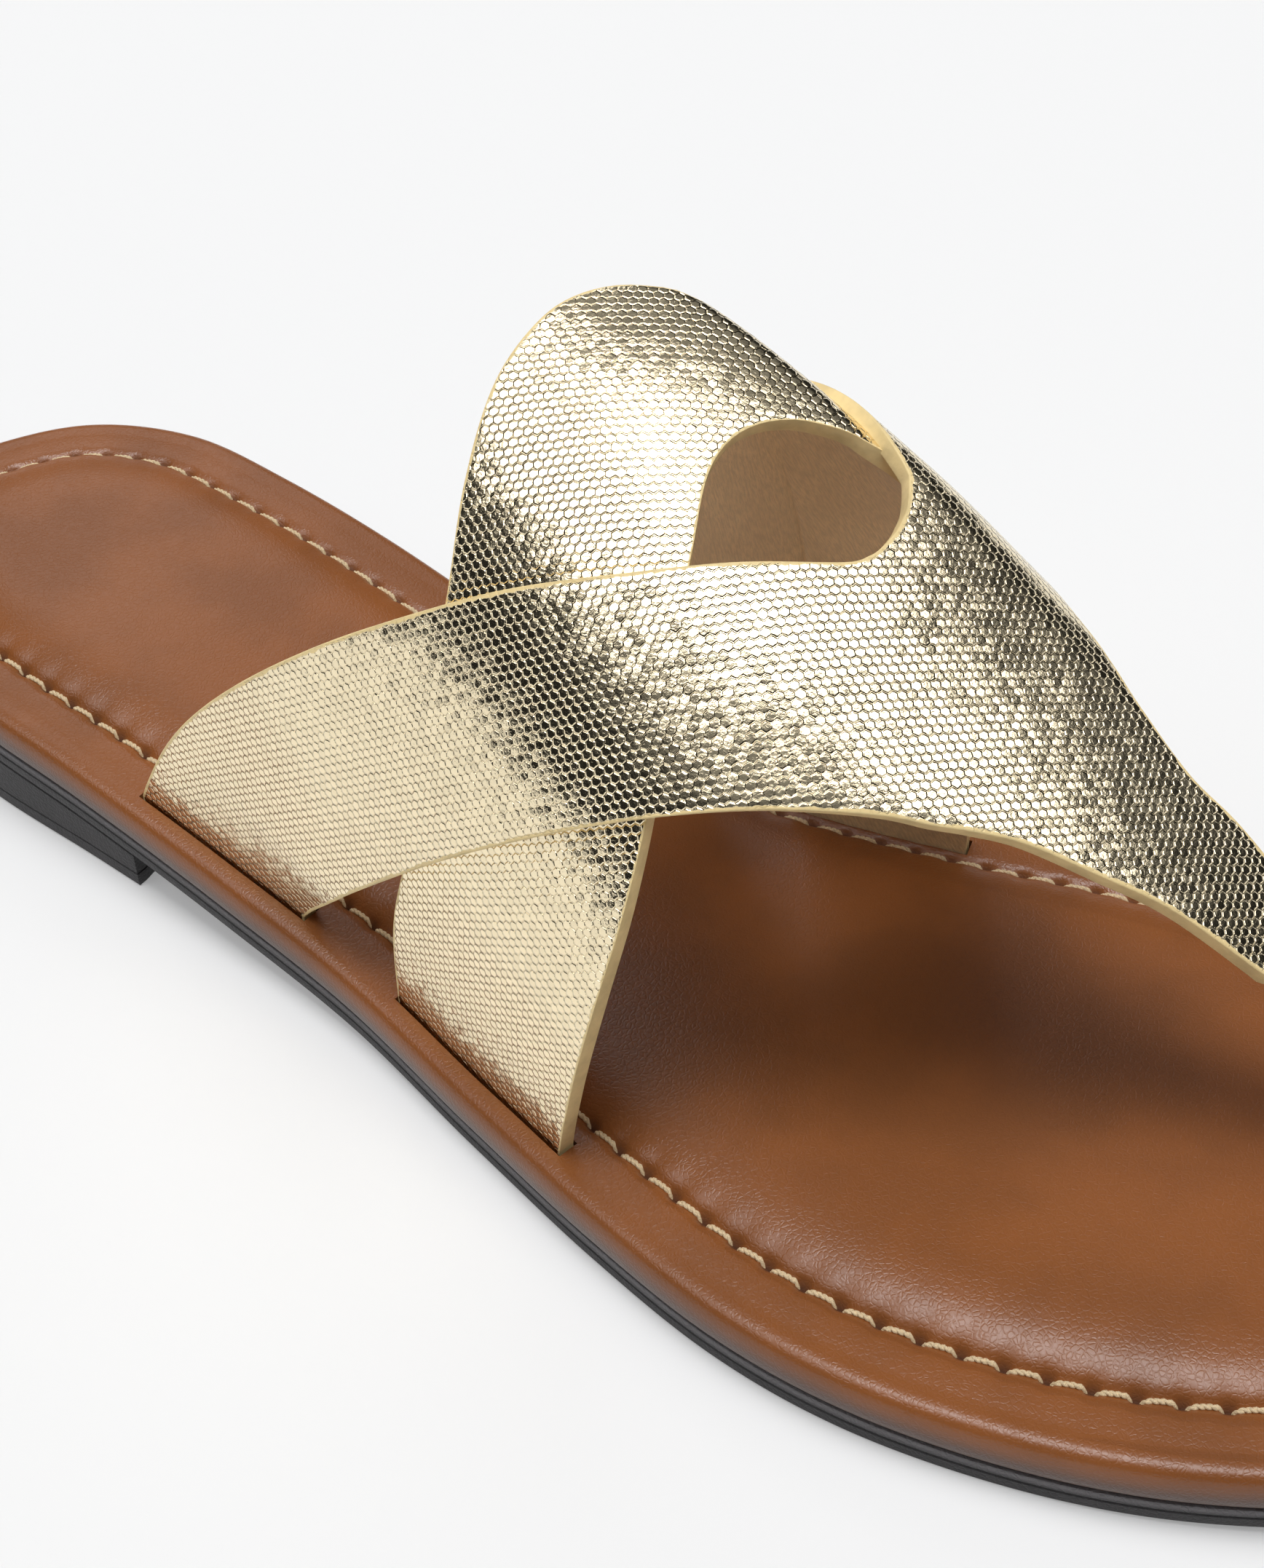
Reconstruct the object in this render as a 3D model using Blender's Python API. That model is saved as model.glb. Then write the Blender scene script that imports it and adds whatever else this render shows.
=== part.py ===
"""Right cross strap sandal: heel block, outsole, padded footbed and one strapped upper.

The heel points to -X, the toe to +X, the inner side of the foot to +Y, and the
heel block and the forefoot of the outsole stand on the plane Z = 0.
"""

import math
from collections import namedtuple

import bpy
from mathutils import Vector

# Overall sizes, in metres
LENGTH = 0.250
BALL_WIDTH = 0.088
HEEL_RISE = 0.0090
TOE_SPRING = 0.0040
INSTEP_HEIGHT = 0.0690

# Layers of the bottom
OUTSOLE_THICK = 0.0030
FOOTBED_THICK = 0.0058
PAD_RISE = 0.0020
FIT_GAP = 0.0003
BORDER_WIDTH = 0.0084
PAD_EASE = 0.010
OUTSOLE_INSET = 0.0007
EDGE_CHAMFER = 0.0004

# Heel block
HEEL_LENGTH = 0.0695
HEEL_INSET = 0.0010
BREAST_HOLLOW = 0.0030

# Straps; the forked strap bites into the band a little where they are joined
STRAP_THICK = 0.0019
OUTER_SLOT_INSET = 0.0042
INNER_SLOT_INSET = 0.0059
INNER_ARM_FORWARD = 0.012
POCKET_FLOOR = 0.0012
LAP_BITE = 0.0005
POST_THICK = 0.0030
POST_HALF_WIDTH = 0.0035
POST_STATION = 0.852
POST_SIDE = 0.185

# How finely the curves are cut into flat faces
SIDE_POINTS = 56
RIM_STEPS = 8
CURVE_STEPS = 12
BAND_ROWS = 52
BAND_COLUMNS = 8
ROWS_PER_SPAN = 5
HALF_COLUMNS = 5
HEEL_STATIONS = 20
HEEL_COLUMNS = 8

# Half widths of the footbed as shares of the ball width, stations as shares of the length
OutlineRow = namedtuple("OutlineRow", "station inner outer")
OUTLINE = (
    OutlineRow(0.017, 0.151, 0.149),
    OutlineRow(0.048, 0.256, 0.251),
    OutlineRow(0.100, 0.317, 0.319),
    OutlineRow(0.168, 0.324, 0.344),
    OutlineRow(0.248, 0.319, 0.349),
    OutlineRow(0.340, 0.303, 0.359),
    OutlineRow(0.432, 0.298, 0.378),
    OutlineRow(0.520, 0.324, 0.427),
    OutlineRow(0.599, 0.382, 0.472),
    OutlineRow(0.671, 0.450, 0.498),
    OutlineRow(0.735, 0.492, 0.489),
    OutlineRow(0.800, 0.501, 0.444),
    OutlineRow(0.860, 0.477, 0.375),
    OutlineRow(0.917, 0.407, 0.276),
    OutlineRow(0.960, 0.308, 0.169),
    OutlineRow(0.989, 0.181, 0.060),
)
HEEL_TIP = OutlineRow(0.000, 0.001, -0.001)
TOE_TIP = OutlineRow(1.000, 0.043, -0.043)

# Height of the arch under the straps above the footbed, as a share of the instep height
ArchRow = namedtuple("ArchRow", "station height")
ARCH = (
    ArchRow(0.26, 1.186),
    ArchRow(0.36, 1.134),
    ArchRow(0.44, 1.079),
    ArchRow(0.52, 1.025),
    ArchRow(0.60, 0.885),
    ArchRow(0.68, 0.704),
    ArchRow(0.76, 0.502),
    ArchRow(0.81, 0.345),
    ArchRow(0.86, 0.200),
)
APEX_SHARE = 0.150
OUTER_FULLNESS = 0.92
INNER_FULLNESS = 1.035

# Edges of the band: angle round the arch in degrees from the outer foot, stations along the length
BandRow = namedtuple("BandRow", "angle rear front")
BAND = (
    BandRow(0.0, 0.460, 0.574),
    BandRow(8.0, 0.462, 0.582),
    BandRow(20.0, 0.475, 0.591),
    BandRow(32.0, 0.476, 0.595),
    BandRow(44.0, 0.473, 0.590),
    BandRow(55.0, 0.463, 0.576),
    BandRow(66.0, 0.455, 0.561),
    BandRow(74.0, 0.455, 0.549),
    BandRow(80.0, 0.459, 0.549),
    BandRow(86.0, 0.471, 0.560),
    BandRow(92.0, 0.494, 0.583),
    BandRow(100.0, 0.508, 0.594),
    BandRow(112.0, 0.521, 0.602),
    BandRow(128.0, 0.530, 0.609),
    BandRow(145.0, 0.537, 0.614),
    BandRow(162.0, 0.534, 0.615),
    BandRow(180.0, 0.529, 0.612),
)

# Edges of one half of the forked strap, from its slot to the fork and on along the tongue
ForkRow = namedtuple("ForkRow", "near_angle near_station far_angle far_station")
ARM = (
    ForkRow(0.0, 0.283, 0.0, 0.394),
    ForkRow(11.7, 0.326, 4.9, 0.420),
    ForkRow(30.0, 0.411, 16.3, 0.478),
    ForkRow(45.0, 0.483, 30.0, 0.543),
    ForkRow(57.5, 0.539, 43.3, 0.598),
    ForkRow(69.3, 0.581, 53.3, 0.637),
    ForkRow(76.5, 0.606, 61.0, 0.668),
    ForkRow(82.0, 0.615, 66.6, 0.694),
)
TONGUE = (
    ForkRow(82.0, 0.615, 66.6, 0.694),
    ForkRow(82.1, 0.668, 70.3, 0.712),
    ForkRow(82.9, 0.728, 74.2, 0.739),
    ForkRow(85.8, 0.763, 77.6, 0.762),
    ForkRow(88.8, 0.799, 81.8, 0.799),
)

# The tongue bends down into the toe post: height above the footbed as a share of its height at the bend
PostRow = namedtuple("PostRow", "forward height widen thicken")
POST = (
    PostRow(0.36, 0.92, 0.80, 0.15),
    PostRow(0.62, 0.79, 0.55, 0.40),
    PostRow(0.84, 0.61, 0.28, 0.75),
    PostRow(0.96, 0.41, 0.10, 1.00),
    PostRow(1.00, 0.22, 0.00, 1.00),
    PostRow(1.00, 0.04, 0.00, 1.00),
)

FOIL_COLOUR = (0.66, 0.49, 0.31, 1.0)
LEATHER_COLOUR = (0.36, 0.17, 0.075, 1.0)
RUBBER_COLOUR = (0.030, 0.028, 0.028, 1.0)


def smoothstep(value):
    """Ease from nought to one, flat at both ends."""
    t = min(max(value, 0.0), 1.0)
    return t * t * (3.0 - 2.0 * t)


def curve_value(stations, values, at):
    """Smooth curve through a table; straight beyond its ends."""
    count = len(stations)
    slopes = []
    for i in range(count):
        low = max(i - 1, 0)
        high = min(i + 1, count - 1)
        slopes.append((values[high] - values[low]) / (stations[high] - stations[low]))
    if at <= stations[0]:
        return values[0] + slopes[0] * (at - stations[0])
    if at >= stations[-1]:
        return values[-1] + slopes[-1] * (at - stations[-1])
    i = max(k for k in range(count - 1) if stations[k] <= at)
    span = stations[i + 1] - stations[i]
    t = (at - stations[i]) / span
    value = values[i] * (1.0 + 2.0 * t) * (1.0 - t) ** 2
    value += slopes[i] * span * t * (1.0 - t) ** 2
    value += values[i + 1] * t * t * (3.0 - 2.0 * t)
    value += slopes[i + 1] * span * t * t * (t - 1.0)
    return value


def table_value(table, key, column, at):
    """Read one named column of a table at a value of its key column."""
    return curve_value([getattr(row, key) for row in table], [getattr(row, column) for row in table], at)


def closed_curve(points, steps):
    """Smooth closed curve through the points."""
    result = []
    count = len(points)
    for i in range(count):
        p0, p1, p2, p3 = (points[(i + k) % count] for k in (-1, 0, 1, 2))
        for step in range(steps):
            t = step / steps
            a = p1 * 2.0
            b = (p2 - p0) * t
            c = (p0 * 2.0 - p1 * 5.0 + p2 * 4.0 - p3) * (t * t)
            d = (p1 * 3.0 - p0 - p2 * 3.0 + p3) * (t ** 3)
            result.append((a + b + c + d) * 0.5)
    return result


def evenly_spaced(points, count):
    """Points at equal distances along an open curve, both ends kept."""
    marks = [0.0]
    for a, b in zip(points, points[1:]):
        marks.append(marks[-1] + (b - a).length)
    result = []
    k = 0
    for i in range(count + 1):
        mark = marks[-1] * i / count
        while k < len(points) - 2 and marks[k + 1] < mark:
            k += 1
        t = (mark - marks[k]) / (marks[k + 1] - marks[k])
        result.append(points[k].lerp(points[k + 1], t))
    return result


def make_outline():
    """Edge of the footbed in plan, counter-clockwise from the heel, centred on its own bounds."""
    controls = [Vector((HEEL_TIP.station * LENGTH, HEEL_TIP.inner * BALL_WIDTH, 0.0))]
    for row in OUTLINE:
        controls.append(Vector((row.station * LENGTH, -row.outer * BALL_WIDTH, 0.0)))
    controls.append(Vector((TOE_TIP.station * LENGTH, TOE_TIP.inner * BALL_WIDTH, 0.0)))
    for row in reversed(OUTLINE):
        controls.append(Vector((row.station * LENGTH, row.inner * BALL_WIDTH, 0.0)))
    dense = closed_curve(controls, CURVE_STEPS)
    middle = (max(p.y for p in dense) + min(p.y for p in dense)) / 2.0
    heel = min(p.x for p in dense)
    toe = max(p.x for p in dense)
    scale = LENGTH / (toe - heel)
    placed = []
    for p in dense:
        placed.append(Vector(((p.x - heel) * scale - LENGTH / 2.0, p.y - middle, 0.0)))
    return placed, middle


DENSE_OUTLINE, SIDE_SHIFT = make_outline()


def inset_curve(points, depth):
    """The closed curve moved inwards by a depth."""
    result = []
    count = len(points)
    for i in range(count):
        along = points[(i + 1) % count] - points[i - 1]
        inward = Vector((-along.y, along.x, 0.0)).normalized()
        result.append(points[i] + inward * depth)
    return result


SLOT_LINES = (
    inset_curve(DENSE_OUTLINE, OUTER_SLOT_INSET),
    inset_curve(DENSE_OUTLINE, INNER_SLOT_INSET),
)


def station_x(station):
    """Place along X of a share of the length, counted from the heel."""
    return (station - 0.5) * LENGTH


def side_of(curve, x, inner):
    """Y of a closed plan curve at x, on the inner or the outer side."""
    best = None
    count = len(curve)
    for i in range(count):
        a = curve[i]
        b = curve[(i + 1) % count]
        if min(a.x, b.x) <= x <= max(a.x, b.x) and a.x != b.x:
            y = a.y + (b.y - a.y) * (x - a.x) / (b.x - a.x)
            if best is None or (y > best) == inner:
                best = y
    return best


def footbed_under(x):
    """Height of the footbed's underside: up at the heel, level at the ball, sprung at the toe."""
    share = x / LENGTH + 0.5
    level = OUTSOLE_THICK + FIT_GAP
    heel = HEEL_RISE * (1.0 - smoothstep((share - 0.10) / 0.44))
    toe = TOE_SPRING * (max(share - 0.78, 0.0) / 0.22) ** 2
    return level + heel + toe


def border_top(x):
    """Height of the flat border round the footbed."""
    return footbed_under(x) + FOOTBED_THICK


def arch_point(x, angle, lift):
    """Point on the arch the straps lie on; angle in degrees, 0 at the outer foot, 180 at the inner."""
    share = x / LENGTH + 0.5
    base = border_top(x)
    height = INSTEP_HEIGHT * table_value(ARCH, "station", "height", share)
    apex = APEX_SHARE * BALL_WIDTH - SIDE_SHIFT
    inner = angle > 90.0
    foot = side_of(SLOT_LINES[inner], x, inner)
    power = OUTER_FULLNESS + (INNER_FULLNESS - OUTER_FULLNESS) * smoothstep((angle - 45.0) / 90.0)
    c = abs(math.cos(math.radians(angle)))
    s = math.sin(math.radians(angle))
    y = apex + (foot - apex) * c ** power
    z = base + height * s ** power
    if lift == 0.0:
        return Vector((x, y, z))
    step = 0.5
    low = arch_point(x, max(angle - step, 0.0), 0.0)
    high = arch_point(x, min(angle + step, 180.0), 0.0)
    behind = arch_point(x - 0.0005, angle, 0.0)
    ahead = arch_point(x + 0.0005, angle, 0.0)
    outward = (ahead - behind).cross(high - low).normalized()
    if outward.z < 0.0:
        outward.negate()
    return Vector((x, y, z)) + outward * lift


def lap_lift(x, angle):
    """How far the forked strap lies above the band's own surface."""
    share = x / LENGTH + 0.5
    along = smoothstep((share - 0.32) / 0.10) * (1.0 - 0.8 * smoothstep((share - 0.60) / 0.08))
    foot = min(angle, 180.0 - angle)
    return (STRAP_THICK - LAP_BITE) * along * smoothstep(foot / 8.0)


def arm_forward(near_angle, inner):
    """How much further forward the inner arm stands than the outer one, most at its slot."""
    if not inner:
        return 0.0
    return INNER_ARM_FORWARD * (1.0 - smoothstep(near_angle / 65.0))


def new_object(name, vertices, faces, material=None):
    """Object from vertices and faces with its normals turned outwards."""
    mesh = bpy.data.meshes.new(name)
    mesh.from_pydata([tuple(v) for v in vertices], [], faces)
    mesh.validate()
    thing = bpy.data.objects.new(name, mesh)
    bpy.context.scene.collection.objects.link(thing)
    if material is not None:
        mesh.materials.append(material)
    return thing


def make_material(name, colour, roughness, metallic):
    """Plain surface with one colour."""
    material = bpy.data.materials.new(name)
    material.use_nodes = True
    surface = material.node_tree.nodes["Principled BSDF"]
    surface.inputs["Base Color"].default_value = colour
    surface.inputs["Roughness"].default_value = roughness
    surface.inputs["Metallic"].default_value = metallic
    return material


def paired_ring():
    """Edge points in order from the heel tip; point i on the outer side faces point -i on the inner."""
    half = SIDE_POINTS
    toe = (len(OUTLINE) + 1) * CURVE_STEPS
    outer = evenly_spaced(DENSE_OUTLINE[:toe + 1], half)
    inner = evenly_spaced(DENSE_OUTLINE[toe:] + [DENSE_OUTLINE[0]], half)
    return outer[:-1] + inner[:-1]


def layered_plate(name, rings, core, material):
    """Closed plate from rings of (inset, height function), listed from the top round to the underside.

    The core gives the shares across between the two sides, with a top height for each.
    """
    edge = paired_ring()
    count = len(edge)
    half = count // 2
    vertices = []
    rows = []
    for inset, height in rings:
        start = len(vertices)
        for point in inset_curve(edge, inset):
            vertices.append(Vector((point.x, point.y, height(point.x))))
        rows.append(list(range(start, start + count)))
    faces = []
    for upper, lower in zip(rows, rows[1:]):
        for i in range(count):
            j = (i + 1) % count
            faces.append((upper[i], lower[i], lower[j], upper[j]))
    for row, height, under in ((rows[0], core[0], False), (rows[-1], core[1], True)):
        shares = core[2]
        columns = [[row[0]] * (len(shares) + 2)]
        for i in range(1, half):
            near = vertices[row[i]]
            far = vertices[row[count - i]]
            column = [row[i]]
            for share in shares:
                place = near.lerp(far, share)
                column.append(len(vertices))
                vertices.append(Vector((place.x, place.y, height(place.x, share))))
            column.append(row[count - i])
            columns.append(column)
        columns.append([row[half]] * (len(shares) + 2))
        for a, b in zip(columns, columns[1:]):
            for k in range(len(shares) + 1):
                face = []
                for corner in (a[k], b[k], b[k + 1], a[k + 1]):
                    if corner not in face:
                        face.append(corner)
                faces.append(tuple(reversed(face)) if under else tuple(face))
    return new_object(name, vertices, faces, material)


def pad_rise(depth):
    """Swell of the padded middle at a distance in from the edge."""
    return PAD_RISE * smoothstep((depth - BORDER_WIDTH) / PAD_EASE)


def make_footbed(material):
    """Wrapped, padded footbed with a round rim."""
    radius = FOOTBED_THICK / 2.0
    rings = []
    for depth in (BORDER_WIDTH + 0.010, BORDER_WIDTH + 0.0065, BORDER_WIDTH + 0.0035, BORDER_WIDTH, 0.0055):
        rings.append((depth, lambda x, d=depth: border_top(x) + pad_rise(d)))
    for step in range(RIM_STEPS + 1):
        turn = math.pi * step / RIM_STEPS
        inset = radius * (1.0 - math.sin(turn))
        rise = radius * math.cos(turn)
        rings.append((inset, lambda x, r=rise: border_top(x) - radius + r))
    rings.append((0.012, footbed_under))

    def top(x, share):
        return border_top(x) + pad_rise(BORDER_WIDTH + PAD_EASE)

    def under(x, share):
        return footbed_under(x)

    return layered_plate("footbed", rings, (top, under, (0.25, 0.5, 0.75)), material)


def make_outsole(material):
    """Thin sole under the footbed, level where the forefoot stands."""
    def top(x, share=0.0):
        return footbed_under(x) - FIT_GAP

    def bottom(x, share=0.0):
        return footbed_under(x) - FIT_GAP - OUTSOLE_THICK

    rings = (
        (0.012, top),
        (OUTSOLE_INSET + EDGE_CHAMFER, top),
        (OUTSOLE_INSET, lambda x: top(x) - EDGE_CHAMFER),
        (OUTSOLE_INSET, lambda x: bottom(x) + EDGE_CHAMFER),
        (OUTSOLE_INSET + EDGE_CHAMFER, bottom),
        (0.012, bottom),
    )
    return layered_plate("outsole", rings, (top, bottom, (0.5,)), material)


def make_heel(material):
    """Block under the heel end, flat below, hollowed a little at its front."""
    edge = inset_curve(DENSE_OUTLINE, HEEL_INSET)
    back = min(p.x for p in edge)
    length = HEEL_LENGTH
    vertices = []
    columns = []
    for k in range(HEEL_STATIONS + 1):
        ease = 1.0 - math.cos(math.pi / 2.0 * k / HEEL_STATIONS)
        x = back + 0.00002 + (length - HEEL_INSET) * ease
        near = side_of(edge, x, False)
        far = side_of(edge, x, True)
        column = []
        for j in range(HEEL_COLUMNS + 1):
            share = j / HEEL_COLUMNS
            hollow = BREAST_HOLLOW * (1.0 - (2.0 * share - 1.0) ** 2) * ease
            place = Vector((x - hollow, near + (far - near) * share, 0.0))
            lid = footbed_under(place.x) - FIT_GAP - OUTSOLE_THICK - FIT_GAP
            column.append((len(vertices), len(vertices) + 1))
            vertices.append(place)
            vertices.append(Vector((place.x, place.y, lid)))
        columns.append(column)
    faces = []
    for a, b in zip(columns, columns[1:]):
        for j in range(HEEL_COLUMNS):
            faces.append((a[j][1], b[j][1], b[j + 1][1], a[j + 1][1]))
            faces.append((a[j][0], a[j + 1][0], b[j + 1][0], b[j][0]))
        faces.append((a[0][0], b[0][0], b[0][1], a[0][1]))
        faces.append((b[-1][0], a[-1][0], a[-1][1], b[-1][1]))
    for j in range(HEEL_COLUMNS):
        a = columns[0]
        b = columns[-1]
        faces.append((a[j + 1][0], a[j][0], a[j][1], a[j + 1][1]))
        faces.append((b[j][0], b[j + 1][0], b[j + 1][1], b[j][1]))
    return new_object("heel", vertices, faces, material)


def sheet_normals(points, faces):
    """Normal at each point of an open sheet."""
    normals = [Vector((0.0, 0.0, 0.0)) for _ in points]
    for face in faces:
        a, b, c, d = (points[i] for i in face)
        normal = (c - a).cross(d - b)
        for i in face:
            normals[i] += normal
    return [n.normalized() for n in normals]


def thicken(name, points, faces, thickness, material=None):
    """Closed solid with the sheet as its middle surface; one thickness for each point."""
    normals = sheet_normals(points, faces)
    count = len(points)
    vertices = [p + n * (t / 2.0) for p, n, t in zip(points, normals, thickness)]
    vertices += [p - n * (t / 2.0) for p, n, t in zip(points, normals, thickness)]
    solid = [tuple(face) for face in faces]
    solid += [tuple(i + count for i in reversed(face)) for face in faces]
    edges = set()
    for face in faces:
        for a, b in zip(face, face[1:] + face[:1]):
            edges.add((a, b))
    for a, b in sorted(edges):
        if (b, a) not in edges:
            solid.append((b, a, a + count, b + count))
    return new_object(name, vertices, solid, material)


def foot_points(x_values, inner, depth):
    """Straight end of a strap in its slot, at a depth below the border."""
    return [Vector((x, side_of(SLOT_LINES[inner], x, inner), border_top(x) - depth)) for x in x_values]


POCKET_DEPTH = FOOTBED_THICK - POCKET_FLOOR
FOOT_DEPTHS = (POCKET_DEPTH - FIT_GAP, POCKET_DEPTH * 0.45)


def band_span(angle):
    """Stations of the band's rear and front edge at an angle."""
    rear = station_x(table_value(BAND, "angle", "rear", angle))
    front = station_x(table_value(BAND, "angle", "front", angle))
    return rear, front


def make_band():
    """Wide band from slot to slot over the instep."""
    points = []
    for side in (False, True):
        rear, front = band_span(180.0 if side else 0.0)
        xs = [rear + (front - rear) * j / BAND_COLUMNS for j in range(BAND_COLUMNS + 1)]
        feet = [foot_points(xs, side, depth) for depth in FOOT_DEPTHS]
        if side:
            feet.reverse()
            for i in range(1, BAND_ROWS + 1):
                angle = 180.0 * i / BAND_ROWS
                rear, front = band_span(angle)
                for j in range(BAND_COLUMNS + 1):
                    x = rear + (front - rear) * j / BAND_COLUMNS
                    points.append(arch_point(x, angle, 0.0))
            for row in feet:
                points += row
        else:
            for row in feet:
                points += row
            points += [arch_point(x, 0.0, 0.0) for x in xs]
    columns = BAND_COLUMNS + 1
    rows = len(points) // columns
    faces = []
    for i in range(rows - 1):
        for j in range(BAND_COLUMNS):
            a = i * columns + j
            faces.append((a, a + 1, a + columns + 1, a + columns))
    return thicken("band", points, faces, [STRAP_THICK] * len(points))


def fork_rows(table, rows_per_span):
    """Smooth rows (near angle, near x, far angle, far x) through a fork table."""
    keys = list(range(len(table)))
    result = []
    for i in range((len(table) - 1) * rows_per_span + 1):
        at = i / rows_per_span
        values = [curve_value(keys, [row[k] for row in table], at) for k in range(4)]
        result.append((values[0], station_x(values[1]), values[2], station_x(values[3])))
    return result


def make_fork():
    """Forked strap: two arms from their slots to the fork, one tongue on to the toe post."""
    arm = fork_rows(ARM, ROWS_PER_SPAN)
    tongue = fork_rows(TONGUE, ROWS_PER_SPAN)[1:]
    points = []
    thickness = []
    grids = []
    fork_angle = ARM[-1].near_angle
    shared = {}
    for inner in (False, True):
        grid = []
        for depth in FOOT_DEPTHS:
            near = arm[0][1] + arm_forward(0.0, inner)
            far = arm[0][3] + arm_forward(0.0, inner)
            xs = [near + (far - near) * j / HALF_COLUMNS for j in range(HALF_COLUMNS + 1)]
            row = []
            for place in foot_points(xs, inner, depth):
                row.append(len(points))
                points.append(place)
                thickness.append(STRAP_THICK)
            grid.append(row)
        for index, (near_angle, near_x, far_angle, far_x) in enumerate(arm + tongue):
            centre = near_angle if index >= len(arm) else fork_angle
            row = []
            for j in range(HALF_COLUMNS + 1):
                share = j / HALF_COLUMNS
                angle = near_angle + (far_angle - near_angle) * share
                x = near_x + (far_x - near_x) * share + arm_forward(near_angle, inner)
                if inner:
                    angle = centre + (centre - angle) * (180.0 - centre) / centre
                key = ("row", index)
                if j == 0 and index >= len(arm) - 1 and key in shared:
                    row.append(shared[key])
                    continue
                if j == 0 and index >= len(arm) - 1:
                    shared[key] = len(points)
                row.append(len(points))
                points.append(arch_point(x, angle, lap_lift(x, angle)))
                thickness.append(STRAP_THICK)
            grid.append(row)
        bend = points[grid[-1][0]]
        edge = (points[grid[-1][HALF_COLUMNS]] - bend).length
        post_x = station_x(POST_STATION)
        post_y = POST_SIDE * BALL_WIDTH
        bend_height = bend.z - border_top(bend.x)
        for index, post in enumerate(POST):
            x = bend.x + (post_x - bend.x) * post.forward
            z = border_top(x) + bend_height * post.height
            if index == len(POST) - 1:
                z = border_top(x) - POCKET_DEPTH + FIT_GAP
            half_width = POST_HALF_WIDTH + (edge - POST_HALF_WIDTH) * post.widen
            row = []
            for j in range(HALF_COLUMNS + 1):
                key = ("post", index)
                if j == 0 and key in shared:
                    row.append(shared[key])
                    continue
                if j == 0:
                    shared[key] = len(points)
                side = half_width * j / HALF_COLUMNS * (1.0 if inner else -1.0)
                row.append(len(points))
                points.append(Vector((x, bend.y + (post_y - bend.y) * post.forward + side, z)))
                thickness.append(STRAP_THICK + (POST_THICK - STRAP_THICK) * post.thicken)
            grid.append(row)
        grids.append(grid)
    faces = []
    for grid, inner in zip(grids, (False, True)):
        for a, b in zip(grid, grid[1:]):
            for j in range(HALF_COLUMNS):
                face = (a[j], a[j + 1], b[j + 1], b[j])
                faces.append(tuple(reversed(face)) if inner else face)
    return thicken("fork", points, faces, thickness), Vector((post_x, post_y, 0.0))


def combine(body, other, operation):
    """Join another solid to the body or cut it away, then drop it."""
    modifier = body.modifiers.new(operation.lower(), "BOOLEAN")
    modifier.operation = operation
    modifier.solver = "EXACT"
    modifier.object = other
    other.hide_render = True
    other.display_type = "WIRE"
    bpy.context.view_layer.update()
    graph = bpy.context.evaluated_depsgraph_get()
    result = bpy.data.meshes.new_from_object(body.evaluated_get(graph))
    body.modifiers.clear()
    body.data = result
    bpy.data.objects.remove(other)


def slot_cutter(rear, front, inner):
    """Slot-shaped cutter that follows the slot line."""
    steps = 10
    xs = [rear - FIT_GAP + (front - rear + 2.0 * FIT_GAP) * k / steps for k in range(steps + 1)]
    points = foot_points(xs, inner, POCKET_DEPTH)
    points += foot_points(xs, inner, -0.004)
    faces = [(k, k + 1, k + steps + 2, k + steps + 1) for k in range(steps)]
    return thicken("slot", points, faces, [STRAP_THICK + 2.0 * FIT_GAP] * len(points))


def post_cutter(place):
    """Square-cornered cutter for the toe post's pocket."""
    half_x = POST_THICK / 2.0 + FIT_GAP
    half_y = POST_HALF_WIDTH + FIT_GAP
    bottom = border_top(place.x) - POCKET_DEPTH
    top = border_top(place.x) + 0.006
    corners = []
    for z in (bottom, top):
        for sx, sy in ((-1, -1), (1, -1), (1, 1), (-1, 1)):
            corners.append(Vector((place.x + sx * half_x, place.y + sy * half_y, z)))
    faces = [(3, 2, 1, 0), (4, 5, 6, 7)]
    faces += [(k, (k + 1) % 4, (k + 1) % 4 + 4, k + 4) for k in range(4)]
    return new_object("post slot", corners, faces)


def shade(thing, angle=35.0):
    """Smooth shading with sharp edges kept where faces meet at a steep angle."""
    mesh = thing.data
    mesh.shade_smooth()
    mesh.set_sharp_from_angle(angle=math.radians(angle))


def main():
    """Build the sandal in its own frame."""
    for thing in list(bpy.data.objects):
        bpy.data.objects.remove(thing)
    foil = make_material("foil leather", FOIL_COLOUR, 0.42, 0.75)
    leather = make_material("footbed leather", LEATHER_COLOUR, 0.48, 0.0)
    rubber = make_material("sole rubber", RUBBER_COLOUR, 0.72, 0.0)
    heel_rubber = make_material("heel rubber", RUBBER_COLOUR, 0.66, 0.0)

    footbed = make_footbed(leather)
    outsole = make_outsole(rubber)
    heel = make_heel(heel_rubber)

    upper = make_band()
    upper.name = "upper"
    fork, post_place = make_fork()
    combine(upper, fork, "UNION")
    upper.data.materials.clear()
    upper.data.materials.append(foil)

    for inner in (False, True):
        rear, front = band_span(180.0 if inner else 0.0)
        combine(footbed, slot_cutter(rear, front, inner), "DIFFERENCE")
        rear = station_x(ARM[0].near_station) + arm_forward(0.0, inner)
        front = station_x(ARM[0].far_station) + arm_forward(0.0, inner)
        combine(footbed, slot_cutter(rear, front, inner), "DIFFERENCE")
    combine(footbed, post_cutter(post_place), "DIFFERENCE")

    for thing in (footbed, outsole, heel, upper):
        shade(thing)


main()
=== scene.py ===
"""Cross strap sandal: straps of foil leather over a stitched, padded footbed.

The heel points to -X, the toe to +X, the inner side of the foot to +Y. Metres throughout.
"""

import math
from contextlib import contextmanager

import bpy
import numpy as np
from mathutils import Matrix, Vector
from mathutils.kdtree import KDTree


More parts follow.
